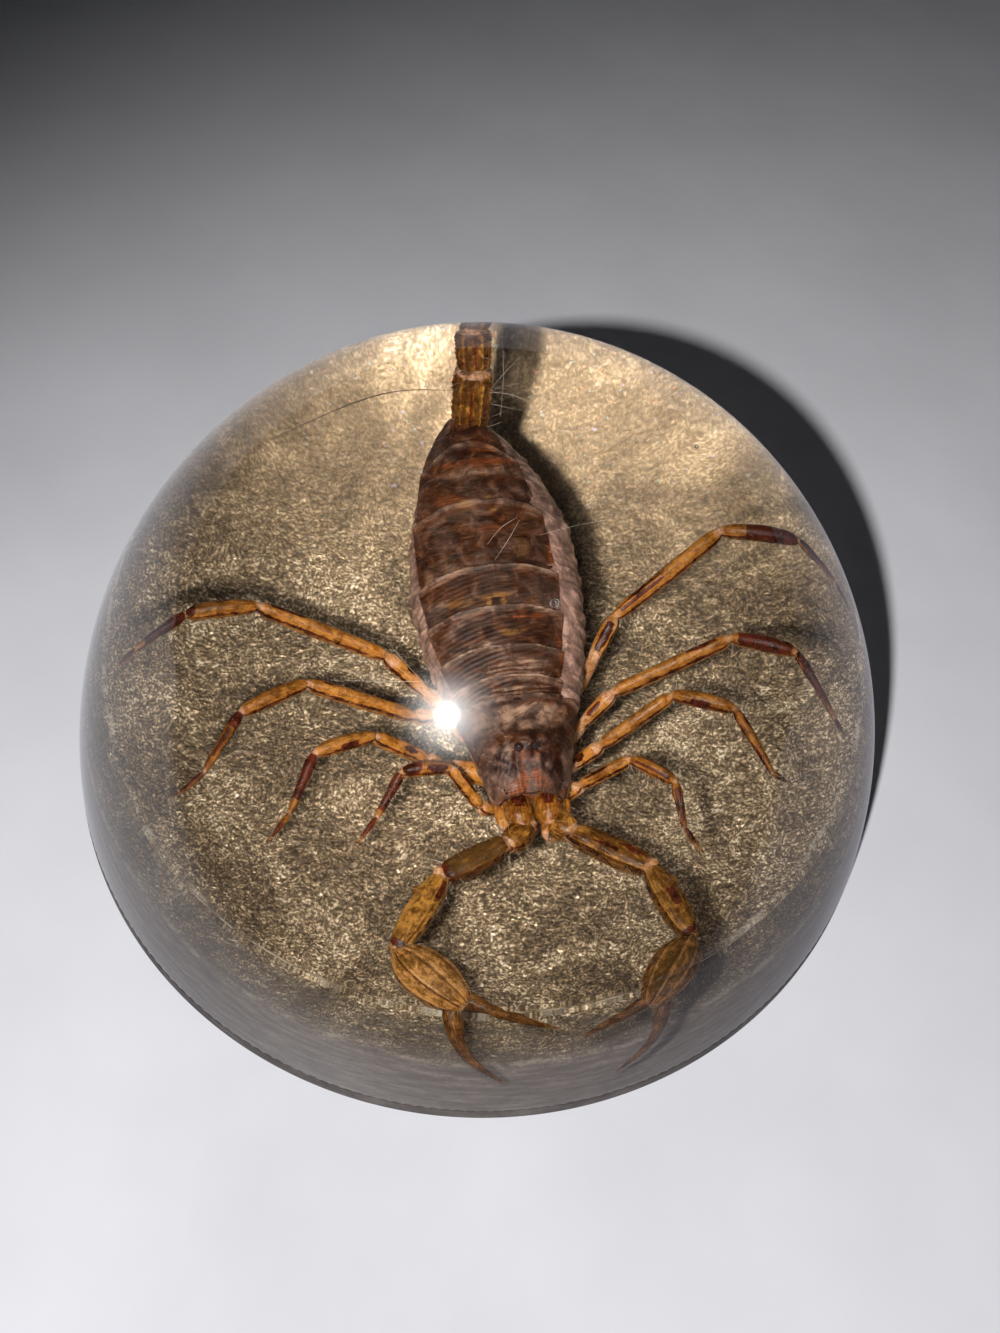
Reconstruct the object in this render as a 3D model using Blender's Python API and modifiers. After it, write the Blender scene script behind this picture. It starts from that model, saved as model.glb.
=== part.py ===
# A dried scorpion cast in a clear resin dome, closed underneath by a thin layer of gold flakes.
# Sizes and places are in millimetres. The dome stands on z = 0 with its axis on z, and the
# scorpion's head points to -Y.
import math

import bpy
import bmesh
from mathutils import Matrix, Vector

OBJECT_NAME = "scorpion_in_resin_dome"
MM = 0.001

# The dome is a spheroid of revolution cut off flat a little above its widest circle.
DOME_RADIUS = 45.0          # horizontal semi-axis
DOME_SEMI_HEIGHT = 52.1     # vertical semi-axis
DOME_CENTRE_Z = -10.56
CROWN_Z = DOME_CENTRE_Z + DOME_SEMI_HEIGHT
DOME_SIDES = 64
DOME_ROWS = 13              # rings between the foot and the crown
ROW_CLEARANCE = 0.5         # a ring keeps this far from the flat faces
FOOT_CHAMFER = 0.5
BACKING_TOP = 2.0
GAP = 0.3                   # left between pieces that touch
PARTING_Z = 12.5            # the clear casting is parted here, through the specimen
POCKET_CLEARANCE = 0.45
TIP_CLEARANCE = 0.7         # past the thin end of a limb
BODY_CLEARANCE = 0.9
EYE_HEADROOM = 1.3          # the pocket's roof clears the eyes as well as the back

# The body's own axis: s runs from the tail's root to the brow, t is out to the animal's left.
TAIL_ROOT = Vector((-3.1, 15.5))
BODY_TURN = math.radians(13.75)
BODY_SIDES = 16
BODY_POCKET_SIDES = 12
BODY_WIDEST = 0.45          # how far up each section its widest line lies
BODY_FULLNESS = 0.85        # 1 would give ellipses
# (s, half width, top z, belly z); a back plate ends where two sections stand close together
BODY_SECTIONS = [
    (0.0, 0.9, 14.3, 12.2), (1.5, 2.5, 15.0, 11.1), (4.15, 4.15, 15.8, 10.0), (4.45, 4.3, 16.1, 9.9),
    (8.85, 5.75, 16.5, 9.0), (9.15, 5.85, 16.8, 8.9), (13.75, 6.3, 16.8, 8.6), (14.05, 6.4, 17.1, 8.6),
    (17.45, 6.1, 16.8, 8.8), (17.75, 6.15, 17.1, 8.8), (20.75, 5.55, 16.6, 9.1), (21.05, 5.6, 16.9, 9.1),
    (23.0, 5.0, 16.5, 9.4), (25.0, 4.5, 16.3, 9.7), (25.3, 4.4, 16.6, 9.7), (29.2, 3.5, 16.2, 10.2),
    (32.0, 2.8, 15.0, 11.2), (32.4, 2.5, 14.5, 11.8),
]
EYE_HILL = (28.5, 0.0, 16.1)    # s, t, z of the hump that carries the two middle eyes
EYE_HILL_RADIUS = 1.25
EYE_HILL_SCALE = (0.75, 1.1, 0.55)
EYES = [(28.65, -0.62, 16.6), (28.65, 0.62, 16.6)]
EYE_RADIUS = 0.38

# Each jaw stands at t = JAW_T on its own side: (s, z, width, height) of its sections.
JAW_T = 1.15
JAW = [(30.9, 12.9, 1.9, 2.1), (32.6, 12.9, 2.1, 2.3), (33.8, 12.8, 1.5, 1.6)]
JAW_FINGER_ROOT = (33.4, 12.8)          # s, z
JAW_FINGER_TIP = (34.7, 12.3)
JAW_FINGER_SPREAD = 0.4                 # up and down from the tip's height
JAW_FINGER = [(0.8, 0.8), (0.25, 0.25)]
JAW_POCKET = [(31.0, 12.8, 4.8, 3.2), (34.9, 12.6, 3.8, 2.6)]

# Joints of each limb, body outwards. Left is the animal's left, on +X.
LEG_JOINTS = {
    "left_leg_1": [(6.8, -13.6, 11.0), (7.9, -13.2, 12.5), (11.4, -11.7, 14.5), (15.0, -13.3, 14.5),
                   (16.2, -16.4, 13.0), (17.6, -17.7, 12.0)],
    "left_leg_2": [(7.2, -10.7, 11.0), (9.1, -9.6, 12.5), (14.0, -6.1, 15.0), (19.0, -6.8, 15.0),
                   (22.9, -11.3, 13.5), (24.3, -11.5, 12.6)],
    "left_leg_3": [(7.5, -7.1, 11.0), (9.5, -5.0, 12.5), (18.0, -0.7, 15.0), (23.7, -1.2, 15.0),
                   (28.6, -5.9, 13.5), (30.0, -6.8, 12.8)],
    "left_leg_4": [(7.7, -1.6, 11.0), (9.0, 1.5, 12.5), (16.2, 8.3, 15.0), (23.2, 9.1, 14.5),
                   (27.8, 7.1, 13.1), (30.4, 5.2, 12.2)],
    "right_leg_1": [(1.6, -15.4, 11.0), (0.6, -15.6, 12.0), (-1.8, -13.7, 14.0), (-5.4, -14.8, 14.5),
                    (-6.9, -17.8, 12.5), (-8.0, -19.7, 12.0)],
    "right_leg_2": [(-2.5, -11.9, 11.0), (-3.7, -12.0, 12.0), (-7.7, -12.0, 14.5), (-12.0, -14.3, 15.0),
                    (-13.5, -18.7, 13.0), (-14.8, -20.8, 12.5)],
    "right_leg_3": [(-2.5, -7.5, 11.0), (-4.9, -8.8, 12.5), (-13.1, -8.4, 15.0), (-18.0, -11.6, 15.0),
                    (-20.7, -16.5, 13.5), (-22.8, -18.2, 12.5)],
    "right_leg_4": [(-4.2, -5.8, 11.0), (-7.4, -3.9, 12.5), (-17.4, -2.3, 15.0), (-23.3, -3.6, 15.0),
                    (-28.1, -6.6, 14.0), (-30.3, -8.0, 13.5)],
}
COXA_ROOT_S = [29.4, 28.2, 26.8, 25.2]   # where legs 1 to 4 leave the breastplate
COXA_ROOT_T = 1.1
COXA_Z = 10.3
# (share of the segment's length, width, height) of the sections of each leg segment
COXA = [(0.0, 1.7, 1.9), (0.6, 1.7, 1.8), (1.0, 0.95, 1.1)]
TROCHANTER = [(0.5, 1.1, 1.35), (1.0, 0.75, 1.05)]
FEMUR = [(0.12, 0.95, 1.35), (0.6, 1.1, 1.5), (1.0, 0.75, 1.05)]
PATELLA = [(0.2, 1.15, 1.4), (0.7, 1.2, 1.45), (1.0, 0.65, 0.8)]
TIBIA = [(0.15, 0.8, 0.95), (0.7, 0.7, 0.85), (1.0, 0.42, 0.5)]
TARSUS = [(0.3, 0.5, 0.55), (1.0, 0.2, 0.2)]
LEG_SIZE = [0.82, 0.9, 0.96, 1.0]        # legs 1 to 4 against the sizes above
LEG_POCKET = [(1.8, 2.0), (1.5, 1.6), (1.3, 1.6), (1.3, 1.6), (1.25, 1.5), (0.9, 1.0), (0.5, 0.5)]

PALP_ROOT = (29.8, 1.6, 11.8)            # s, t on the palp's own side, z

PALP_JOINTS = {
    "left_palp": [(6.3, -16.4, 12.3), (7.7, -17.7, 13.0), (13.9, -20.2, 13.0), (18.4, -26.1, 12.0),
                  (16.5, -33.0, 10.8)],
    "right_palp": [(4.3, -17.4, 12.3), (2.9, -19.3, 13.0), (-1.6, -22.6, 13.0), (-4.6, -29.3, 12.0),
                   (1.1, -33.6, 10.8)],
}
FIXED_FINGERS = {
    "left_palp": [(16.5, -31.9, 10.9), (14.6, -33.1, 10.0), (12.8, -33.9, 8.8), (10.8, -34.7, 7.5)],
    "right_palp": [(0.4, -32.5, 10.9), (3.2, -33.6, 10.4), (6.2, -34.0, 9.4), (8.9, -33.9, 8.0)],
}
MOVING_FINGERS = {
    "left_palp": [(17.2, -31.4, 10.6), (17.8, -34.4, 8.5), (17.0, -36.1, 6.2), (14.9, -38.0, 4.0)],
    "right_palp": [(-0.2, -32.9, 10.7), (0.9, -36.1, 8.0), (2.4, -37.5, 6.0), (5.3, -39.1, 4.0)],
}
PALP_COXA = [(0.0, 2.4, 2.4), (1.0, 1.7, 1.8)]
PALP_TROCHANTER = [(0.5, 2.0, 2.1), (1.0, 1.25, 1.4)]
PALP_FEMUR = [(0.12, 1.6, 1.8), (0.85, 1.8, 1.9), (1.0, 1.2, 1.3)]
PALP_PATELLA = [(0.12, 1.7, 1.7), (0.4, 2.2, 2.0), (0.85, 1.9, 1.8), (1.0, 1.1, 1.2)]
HAND = [(0.1, 2.6, 2.2), (0.35, 4.5, 3.4), (0.68, 4.6, 3.4), (1.0, 2.4, 2.1)]
FINGER = [(1.4, 1.4), (1.15, 1.1), (0.85, 0.8), (0.3, 0.3)]
PALP_POCKET = [(2.5, 2.5), (2.4, 2.4), (2.2, 2.3), (2.2, 2.2), (2.3, 2.2)]
HAND_POCKET = [(4.9, 3.8), (4.9, 3.8)]
FINGER_POCKET = [(1.6, 1.6), (1.3, 1.3), (1.0, 1.0), (0.5, 0.5)]

# Tail: it rises from the body, bends over behind the view and hangs down along the far wall.
TAIL_JOINTS = [(-3.0, 15.2, 13.2), (-3.2, 18.2, 17.9), (-3.9, 22.0, 21.4), (-4.0, 27.0, 22.3),
               (-3.2, 31.4, 19.2), (-2.6, 33.4, 12.9)]
ACROSS_TAIL = Vector((1.0, 0.0, 0.0))
TAIL_START = 0.15           # share of the first segment that stands inside the body
TAIL_START_SIZE = (1.6, 1.6)
TAIL_WIDTHS = [2.8, 2.8, 2.7, 2.5, 2.3]     # segments one to five, at their widest
TAIL_SEGMENT = [(0.15, 0.88, 0.88), (0.5, 0.96, 0.96), (0.85, 1.0, 0.98), (1.0, 0.72, 0.74)]
STING_PATH = [(-2.6, 33.3, 13.1), (-2.5, 33.3, 11.6), (-2.4, 32.8, 9.7), (-2.3, 31.7, 8.0), (-2.2, 30.0, 7.0),
              (-2.2, 28.6, 7.2)]
STING = [(1.2, 1.3), (2.3, 2.2), (2.3, 2.2), (1.3, 1.3), (0.6, 0.6), (0.2, 0.2)]
TAIL_POCKET = (3.2, 3.5)
STING_POCKET = [(2.9, 3.0), (2.5, 2.4), (1.6, 1.6), (0.9, 0.9), (0.4, 0.4)]


def clear_scene():
    for thing in list(bpy.data.objects):
        bpy.data.objects.remove(thing, do_unlink=True)


def new_collection(name):
    collection = bpy.data.collections.new(name)
    bpy.context.scene.collection.children.link(collection)
    return collection


def principled(name, colour, roughness, metallic=0.0, transmission=0.0):
    material = bpy.data.materials.new(name)
    material.use_nodes = True
    shader = material.node_tree.nodes["Principled BSDF"]
    shader.inputs["Base Color"].default_value = (*colour, 1.0)
    shader.inputs["Roughness"].default_value = roughness
    shader.inputs["Metallic"].default_value = metallic
    shader.inputs["Transmission Weight"].default_value = transmission
    material.diffuse_color = (*colour, 1.0)
    return material


def mesh_object(name, corners, faces, collection):
    mesh = bpy.data.meshes.new(name)
    mesh.from_pydata([Vector(corner) * MM for corner in corners], [], faces)
    shape = bmesh.new()
    shape.from_mesh(mesh)
    bmesh.ops.recalc_face_normals(shape, faces=shape.faces)
    bmesh.ops.triangulate(shape, faces=shape.faces)
    shape.to_mesh(mesh)
    shape.free()
    thing = bpy.data.objects.new(name, mesh)
    collection.objects.link(thing)
    return thing


def loft(name, rings, collection):
    """A closed skin through rings that all have the same number of corners."""
    sides = len(rings[0])
    corners = [corner for ring in rings for corner in ring]
    faces = [list(range(sides)), list(range(len(corners) - sides, len(corners)))]
    for row in range(len(rings) - 1):
        for side in range(sides):
            after = (side + 1) % sides
            low = row * sides
            high = low + sides
            faces.append((low + side, low + after, high + after, high + side))
    return mesh_object(name, corners, faces, collection)


def ellipse(centre, along, width, height, sides, across=None):
    """Corners of an ellipse square to a line. Its width lies level, or towards the given side."""
    forward = Vector(along).normalized()
    if across is None:
        across = forward.cross(Vector((0.0, 0.0, 1.0)))
    across = (across - forward * across.dot(forward)).normalized()
    upward = across.cross(forward)
    ring = []
    for side in range(sides):
        angle = 2.0 * math.pi * (side + 0.5) / sides
        ring.append(Vector(centre) + across * (math.cos(angle) * width / 2.0)
                    + upward * (math.sin(angle) * height / 2.0))
    return ring


def bent_tube(name, path, sizes, collection, sides=6, across=None):
    """A tapering tube along a bent path, one (width, height) for each of its points."""
    points = [Vector(point) for point in path]
    rings = []
    for number, (width, height) in enumerate(sizes):
        before = points[max(number - 1, 0)]
        after = points[min(number + 1, len(points) - 1)]
        rings.append(ellipse(points[number], after - before, width, height, sides, across))
    return loft(name, rings, collection)


def limb(name, joints, shapes, collection, sides=6, scale=1.0):
    """A jointed limb in one skin. Each segment's shape gives (share of its length, width, height)."""
    points = [Vector(joint) for joint in joints]
    path = []
    sizes = []
    for count, shape in enumerate(shapes):
        for share, width, height in shape:
            path.append(points[count].lerp(points[count + 1], share))
            sizes.append((width * scale, height * scale))
    return bent_tube(name, path, sizes, collection, sides)


def body_point(s, t, z):
    """A point given along and out from the body's own axis."""
    along = Vector((math.sin(BODY_TURN), -math.cos(BODY_TURN)))
    out = Vector((math.cos(BODY_TURN), math.sin(BODY_TURN)))
    place = TAIL_ROOT + along * s + out * t
    return Vector((place.x, place.y, z))


def body_ring(s, half_width, top, belly, sides):
    """A flattened round section: fuller than an ellipse, its widest line below the middle."""
    middle = belly + BODY_WIDEST * (top - belly)
    ring = []
    for side in range(sides):
        angle = 2.0 * math.pi * side / sides
        across, upward = math.cos(angle), math.sin(angle)
        t = half_width * math.copysign(abs(across) ** BODY_FULLNESS, across)
        reach = top - middle if upward > 0.0 else middle - belly
        z = middle + reach * math.copysign(abs(upward) ** BODY_FULLNESS, upward)
        ring.append(body_point(s, t, z))
    return ring


def side_of(name):
    """+1 on the animal's left, -1 on its right."""
    return 1.0 if name.startswith("left") else -1.0


def ball(name, centre, radius, scale, collection, segments=10, rows=6):
    bpy.ops.mesh.primitive_uv_sphere_add(segments=segments, ring_count=rows, radius=radius * MM,
                                         location=Vector(centre) * MM)
    thing = bpy.context.object
    thing.name = name
    thing.data.transform(Matrix.Diagonal((*scale, 1.0)))
    for other in thing.users_collection:
        other.objects.unlink(thing)
    collection.objects.link(thing)
    return thing


def make_body(collection):
    rings = [body_ring(s, half_width, top, belly, BODY_SIDES)
             for s, half_width, top, belly in BODY_SECTIONS]
    return loft("scorpion", rings, collection)


def make_eyes(limbs):
    ball("eye_hill", body_point(*EYE_HILL), EYE_HILL_RADIUS, EYE_HILL_SCALE, limbs)
    for place in EYES:
        ball("eye", body_point(*place), EYE_RADIUS, (1.0, 1.0, 1.0), limbs, segments=8, rows=5)


def make_jaws(limbs):
    sizes = [(width, height) for _, _, width, height in JAW]
    for t in (-JAW_T, JAW_T):
        bent_tube("chelicera", [body_point(s, t, z) for s, z, _, _ in JAW], sizes, limbs, sides=8)
        for spread in (-JAW_FINGER_SPREAD, JAW_FINGER_SPREAD):
            root = body_point(JAW_FINGER_ROOT[0], t + spread * 0.6, JAW_FINGER_ROOT[1])
            tip = body_point(JAW_FINGER_TIP[0], t * 0.75 + spread * 0.3, JAW_FINGER_TIP[1] + spread)
            bent_tube("chelicera_finger", [root, tip], JAW_FINGER, limbs, sides=5)


def leg_path(name):
    """A leg's joints, from its place on the breastplate to its foot."""
    root = body_point(COXA_ROOT_S[int(name[-1]) - 1], side_of(name) * COXA_ROOT_T, COXA_Z)
    return [root, *LEG_JOINTS[name]]


def make_leg(name, limbs):
    limb(name, leg_path(name), [COXA, TROCHANTER, FEMUR, PATELLA, TIBIA, TARSUS], limbs,
         scale=LEG_SIZE[int(name[-1]) - 1])


def palp_path(name):
    """A palp's joints, from its root beside the jaws to the end of its hand."""
    s, t, z = PALP_ROOT
    return [body_point(s, side_of(name) * t, z), *PALP_JOINTS[name]]


def make_palp(name, limbs):
    limb(name, palp_path(name), [PALP_COXA, PALP_TROCHANTER, PALP_FEMUR, PALP_PATELLA, HAND], limbs,
         sides=8)
    bent_tube(name + "_fixed_finger", FIXED_FINGERS[name], FINGER, limbs)
    bent_tube(name + "_moving_finger", MOVING_FINGERS[name], FINGER, limbs)


def make_tail(limbs):
    joints = [Vector(joint) for joint in TAIL_JOINTS]
    path = [joints[0] - (joints[1] - joints[0]) * TAIL_START]
    sizes = [TAIL_START_SIZE]
    for count, widest in enumerate(TAIL_WIDTHS):
        for share, width, height in TAIL_SEGMENT:
            path.append(joints[count].lerp(joints[count + 1], share))
            sizes.append((width * widest, height * widest))
    bent_tube("tail", path, sizes, limbs, sides=8, across=ACROSS_TAIL)
    bent_tube("sting", STING_PATH, STING, limbs, sides=8, across=ACROSS_TAIL)


def combine(thing, operands, operation):
    """A Boolean with every object of a collection, which is hidden as a working shape."""
    for operand in operands.objects:
        operand.hide_render = True
        operand.display_type = "WIRE"
    join = thing.modifiers.new(operation.lower(), "BOOLEAN")
    join.operation = operation
    join.operand_type = "COLLECTION"
    join.collection = operands
    join.solver = "EXACT"


def make_scorpion(collection, limbs):
    body = make_body(collection)
    make_eyes(limbs)
    make_jaws(limbs)
    for name in LEG_JOINTS:
        make_leg(name, limbs)
    for name in PALP_JOINTS:
        make_palp(name, limbs)
    make_tail(limbs)
    combine(body, limbs, "UNION")
    body.data.materials.append(principled("scorpion_shell", (0.36, 0.13, 0.03), 0.4))
    return body


def pocket_tube(name, path, sizes, cutters, sides=6, across=None):
    """A limb's pocket: its path with plain round sections that stand clear of it."""
    points = [Vector(point) for point in path]
    first = (points[0] - points[1]).normalized()
    last = (points[-1] - points[-2]).normalized()
    points[0] = points[0] + first * POCKET_CLEARANCE
    points[-1] = points[-1] + last * TIP_CLEARANCE
    widen = 1.0 / math.cos(math.pi / sides)
    grown = [((width + 2.0 * POCKET_CLEARANCE) * widen, (height + 2.0 * POCKET_CLEARANCE) * widen)
             for width, height in sizes]
    return bent_tube(name, points, grown, cutters, sides, across)


def make_body_pocket(cutters):
    """The trunk's pocket: its sections without the steps between plates, grown all round."""
    sections = BODY_SECTIONS[0:2] + BODY_SECTIONS[3:-2:2] + BODY_SECTIONS[-1:]
    rings = []
    for s, half_width, top, belly in sections:
        if s == sections[0][0]:
            s -= BODY_CLEARANCE
        if s == sections[-1][0]:
            s += BODY_CLEARANCE
        rings.append(body_ring(s, half_width + BODY_CLEARANCE, top + EYE_HEADROOM, belly - BODY_CLEARANCE,
                               BODY_POCKET_SIDES))
    loft("pocket_body", rings, cutters)


def make_limb_pockets(cutters):
    for name in LEG_JOINTS:
        pocket_tube("pocket_" + name, leg_path(name), LEG_POCKET, cutters)
    for name in PALP_JOINTS:
        path = palp_path(name)
        pocket_tube("pocket_" + name, path[:-1], PALP_POCKET, cutters)
        pocket_tube("pocket_hand_" + name, path[-2:], HAND_POCKET, cutters, sides=8)
        pocket_tube("pocket_fixed_" + name, FIXED_FINGERS[name], FINGER_POCKET, cutters)
        pocket_tube("pocket_moving_" + name, MOVING_FINGERS[name], FINGER_POCKET, cutters)


def make_pocket(cutters):
    make_body_pocket(cutters)
    make_limb_pockets(cutters)
    pocket_tube("pocket_jaws", [body_point(s, 0.0, z) for s, z, _, _ in JAW_POCKET],
                [(width, height) for _, _, width, height in JAW_POCKET], cutters, sides=8)
    tail = TAIL_JOINTS + [STING_PATH[2]]
    pocket_tube("pocket_tail", tail, [TAIL_POCKET] * len(tail), cutters, across=ACROSS_TAIL)
    pocket_tube("pocket_sting", STING_PATH[1:], STING_POCKET, cutters, across=ACROSS_TAIL)


def wall_radius(z):
    """The dome's outside radius at a height."""
    return DOME_RADIUS * math.sqrt(1.0 - ((z - DOME_CENTRE_Z) / DOME_SEMI_HEIGHT) ** 2)


def wall_heights(low, high):
    """The heights of the dome's rings that lie between two levels."""
    lowest = math.asin(-DOME_CENTRE_Z / DOME_SEMI_HEIGHT)
    heights = []
    for row in range(1, DOME_ROWS):
        rise = lowest + (math.pi / 2.0 - lowest) * row / DOME_ROWS
        z = DOME_CENTRE_Z + DOME_SEMI_HEIGHT * math.sin(rise)
        if low + ROW_CLEARANCE < z < high - ROW_CLEARANCE:
            heights.append(z)
    return heights


def turned_solid(name, profile, collection):
    """Turns (radius, z) points, outer side from top to bottom, about the upright axis."""
    mesh = bpy.data.meshes.new(name)
    corners = [(radius * MM, 0.0, z * MM) for radius, z in profile]
    mesh.from_pydata(corners, [(n, n + 1) for n in range(len(corners) - 1)], [])
    thing = bpy.data.objects.new(name, mesh)
    collection.objects.link(thing)
    screw = thing.modifiers.new("turn", "SCREW")
    screw.steps = DOME_SIDES
    screw.render_steps = DOME_SIDES
    screw.use_merge_vertices = True
    screw.merge_threshold = 0.00001
    screw.use_smooth_shade = True
    return thing


def make_backing(collection):
    foot = wall_radius(0.0)
    profile = [(0.0, BACKING_TOP), (wall_radius(BACKING_TOP), BACKING_TOP),
               (wall_radius(FOOT_CHAMFER), FOOT_CHAMFER), (foot - FOOT_CHAMFER, 0.0), (0.0, 0.0)]
    backing = turned_solid("glitter_backing", profile, collection)
    backing.data.materials.append(principled("gold_flake", (0.22, 0.17, 0.08), 0.35, metallic=0.6))
    return backing


def make_dome_half(name, low, high, clear, cutters, collection):
    profile = [(wall_radius(z), z) for z in reversed(wall_heights(low, high))]
    if high < CROWN_Z:
        profile = [(0.0, high), (wall_radius(high), high)] + profile
    else:
        profile = [(0.0, CROWN_Z)] + profile
    profile += [(wall_radius(low), low), (0.0, low)]
    half = turned_solid(name, profile, collection)
    half.data.materials.append(clear)
    combine(half, cutters, "DIFFERENCE")
    return half


def main():
    clear_scene()
    parts = new_collection(OBJECT_NAME)
    limbs = new_collection("scorpion_limbs")
    cutters = new_collection("cutters")
    make_scorpion(parts, limbs)
    make_backing(parts)
    make_pocket(cutters)
    clear = principled("clear_resin", (0.95, 0.94, 0.90), 0.02, transmission=1.0)
    make_dome_half("dome_lower", BACKING_TOP + GAP, PARTING_Z - GAP / 2.0, clear, cutters, parts)
    make_dome_half("dome_upper", PARTING_Z + GAP / 2.0, CROWN_Z, clear, cutters, parts)


main()
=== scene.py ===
import math

import bpy
import numpy as np
from mathutils import Matrix, Vector, geometry


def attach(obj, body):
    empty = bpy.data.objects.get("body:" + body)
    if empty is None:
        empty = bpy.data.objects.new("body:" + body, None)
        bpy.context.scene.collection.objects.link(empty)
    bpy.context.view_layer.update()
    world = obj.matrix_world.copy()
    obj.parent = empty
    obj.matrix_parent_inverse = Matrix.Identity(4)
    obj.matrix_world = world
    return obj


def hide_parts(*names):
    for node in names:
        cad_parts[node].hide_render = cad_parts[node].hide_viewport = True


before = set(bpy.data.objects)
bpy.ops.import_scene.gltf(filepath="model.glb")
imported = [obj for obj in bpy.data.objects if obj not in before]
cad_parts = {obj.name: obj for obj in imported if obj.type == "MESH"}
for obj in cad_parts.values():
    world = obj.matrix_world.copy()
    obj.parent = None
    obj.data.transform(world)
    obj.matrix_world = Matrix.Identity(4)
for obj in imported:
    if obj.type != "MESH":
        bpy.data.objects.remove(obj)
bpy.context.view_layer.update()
mm = 0.001                      # lengths below are in millimetres unless a name says metres
print("frame loaded")


def unit(v):
    return v / np.maximum(np.linalg.norm(v, axis=-1, keepdims=True), 1e-12)


# A cubic through the knots, its slope at each from the neighbours on both sides.
def throughKnots(x, knots, values):
    knots, values = np.asarray(knots, float), np.asarray(values, float)
    slope = np.gradient(values, knots)
    i = np.clip(np.searchsorted(knots, x) - 1, 0, len(knots) - 2)
    h = knots[i + 1] - knots[i]
    f = np.clip((x - knots[i]) / h, 0.0, 1.0)
    g = 1.0 - f
    return (values[i] * (1 + 2 * f) * g**2 + slope[i] * h * f * g**2
            + values[i + 1] * (1 + 2 * g) * f**2 - slope[i + 1] * h * g * f**2)


# The same through points in space, with at running 0 to 1 over the points' numbers.
def smoothPath(points, at):
    points = np.asarray(points, float)
    knots = np.linspace(0.0, 1.0, len(points))
    return np.stack([throughKnots(at, knots, points[:, k]) for k in range(3)], -1)


# A hump of height 1 at the middle that falls off as exp(-(distance / width) squared).
def hump(x, middle, width):
    return np.exp(-((x - middle) / width) ** 2)


# 0 below low, 1 above high, with a smooth step between.
def rise(x, low, high):
    f = np.clip((x - low) / (high - low), 0.0, 1.0)
    return f * f * (3 - 2 * f)


# The shortest way round between two angles in radians.
def turnBetween(a, b):
    return np.abs((a - b + np.pi) % (2 * np.pi) - np.pi)


# Across and up directions of a path. Across lies level unless a direction is given.
def pathFrame(path, across=None):
    forward = unit(np.gradient(path, axis=0))
    if across is None:
        side = np.cross(forward, np.array([0.0, 0.0, 1.0]))
    else:
        across = np.asarray(across, float)
        side = across - forward * (forward @ across)[:, None]
    side = unit(side)
    return side, np.cross(side, forward)


# Rings round a path: centre + across * w * cos(a) + up * h * sin(a), with cos and sin raised to
# a power under 1 for a squarer section, and all of it times 1 plus the sum of the ridges.
def ringGrid(path, wide, high, columns, across=None, power=1.0, ridges=0.0):
    side, upward = pathFrame(path, across)
    angle = np.linspace(0, 2 * np.pi, columns, endpoint=False)
    c = np.sign(np.cos(angle)) * np.abs(np.cos(angle)) ** power
    s = np.sign(np.sin(angle)) * np.abs(np.sin(angle)) ** power
    grow = 1.0 + ridges
    return (path[:, None] + side[:, None] * (wide[:, None] * c * grow)[..., None]
            + upward[:, None] * (high[:, None] * s * grow)[..., None])


# A closed skin over a grid of rows of rings, with a middle point at each end. It's turned inside
# out where its signed volume, the sum of a . (b x c) / 6 over its triangles, is below nothing.
def closedSkin(grid, marks=None, flow=None):
    rows, columns = grid.shape[:2]
    if marks is None:
        marks = np.zeros((rows, columns, 4))
    if flow is None:
        flow = np.zeros((rows, columns, 3))
    def withEnds(values):
        every = values.reshape(-1, values.shape[-1])
        return np.concatenate([every, values[:1].mean(1), values[-1:].mean(1)])
    points = withEnds(grid)
    r, c = np.meshgrid(np.arange(rows - 1), np.arange(columns), indexing="ij")
    d = (c + 1) % columns
    quads = np.stack([r * columns + c, (r + 1) * columns + c, (r + 1) * columns + d, r * columns + d], -1)
    quads = quads.reshape(-1, 4)
    c = np.arange(columns)
    d = (c + 1) % columns
    first, last = rows * columns, rows * columns + 1
    tips = np.concatenate([np.stack([np.full(columns, first), c, d], 1),
                           np.stack([np.full(columns, last), last - 1 - columns + d,
                                     last - 1 - columns + c], 1)])
    corners = points[np.concatenate([tips, quads[:, :3], quads[:, [0, 2, 3]]])]
    volume = np.einsum("ij,ij->i", corners[:, 0], np.cross(corners[:, 1], corners[:, 2])).sum()
    if volume < 0:
        quads, tips = quads[:, ::-1], tips[:, ::-1]
    return points, quads, tips, withEnds(marks), withEnds(flow)


# Joins skins into one object, with their four marks and their flow (along, round, chance) kept as
# attributes for the materials.
def makePiece(name, skins, material, slot, *nodes):
    start, points, faces, marks, flow = 0, [], [], [], []
    for p, quads, tips, m, f in skins:
        points.append(p)
        faces += (quads + start).tolist() + (tips + start).tolist()
        marks.append(m)
        flow.append(f)
        start += len(p)
    points = np.concatenate(points) * mm
    mesh = bpy.data.meshes.new(name)
    mesh.from_pydata(points, [], faces)
    mesh.shade_smooth()
    marks = np.clip(np.concatenate(marks), 0.0, 1.0)
    mesh.attributes.new("marks", "FLOAT_COLOR", "POINT").data.foreach_set("color", marks.ravel())
    flow = np.concatenate(flow)
    mesh.attributes.new("flow", "FLOAT_VECTOR", "POINT").data.foreach_set("vector", flow.ravel())
    return placePiece(name, mesh, material, slot, *nodes)


def shellPiece(name, skins, material):
    return makePiece(name, skins, material, "scorpion_shell", "scorpion")


def placePiece(name, mesh, material, slot, *nodes):
    thing = bpy.data.objects.new(name, mesh)
    bpy.context.scene.collection.objects.link(thing)
    mesh.materials.append(material)
    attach(thing, "root")
    if nodes:
        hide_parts(*nodes)
    return thing


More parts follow.
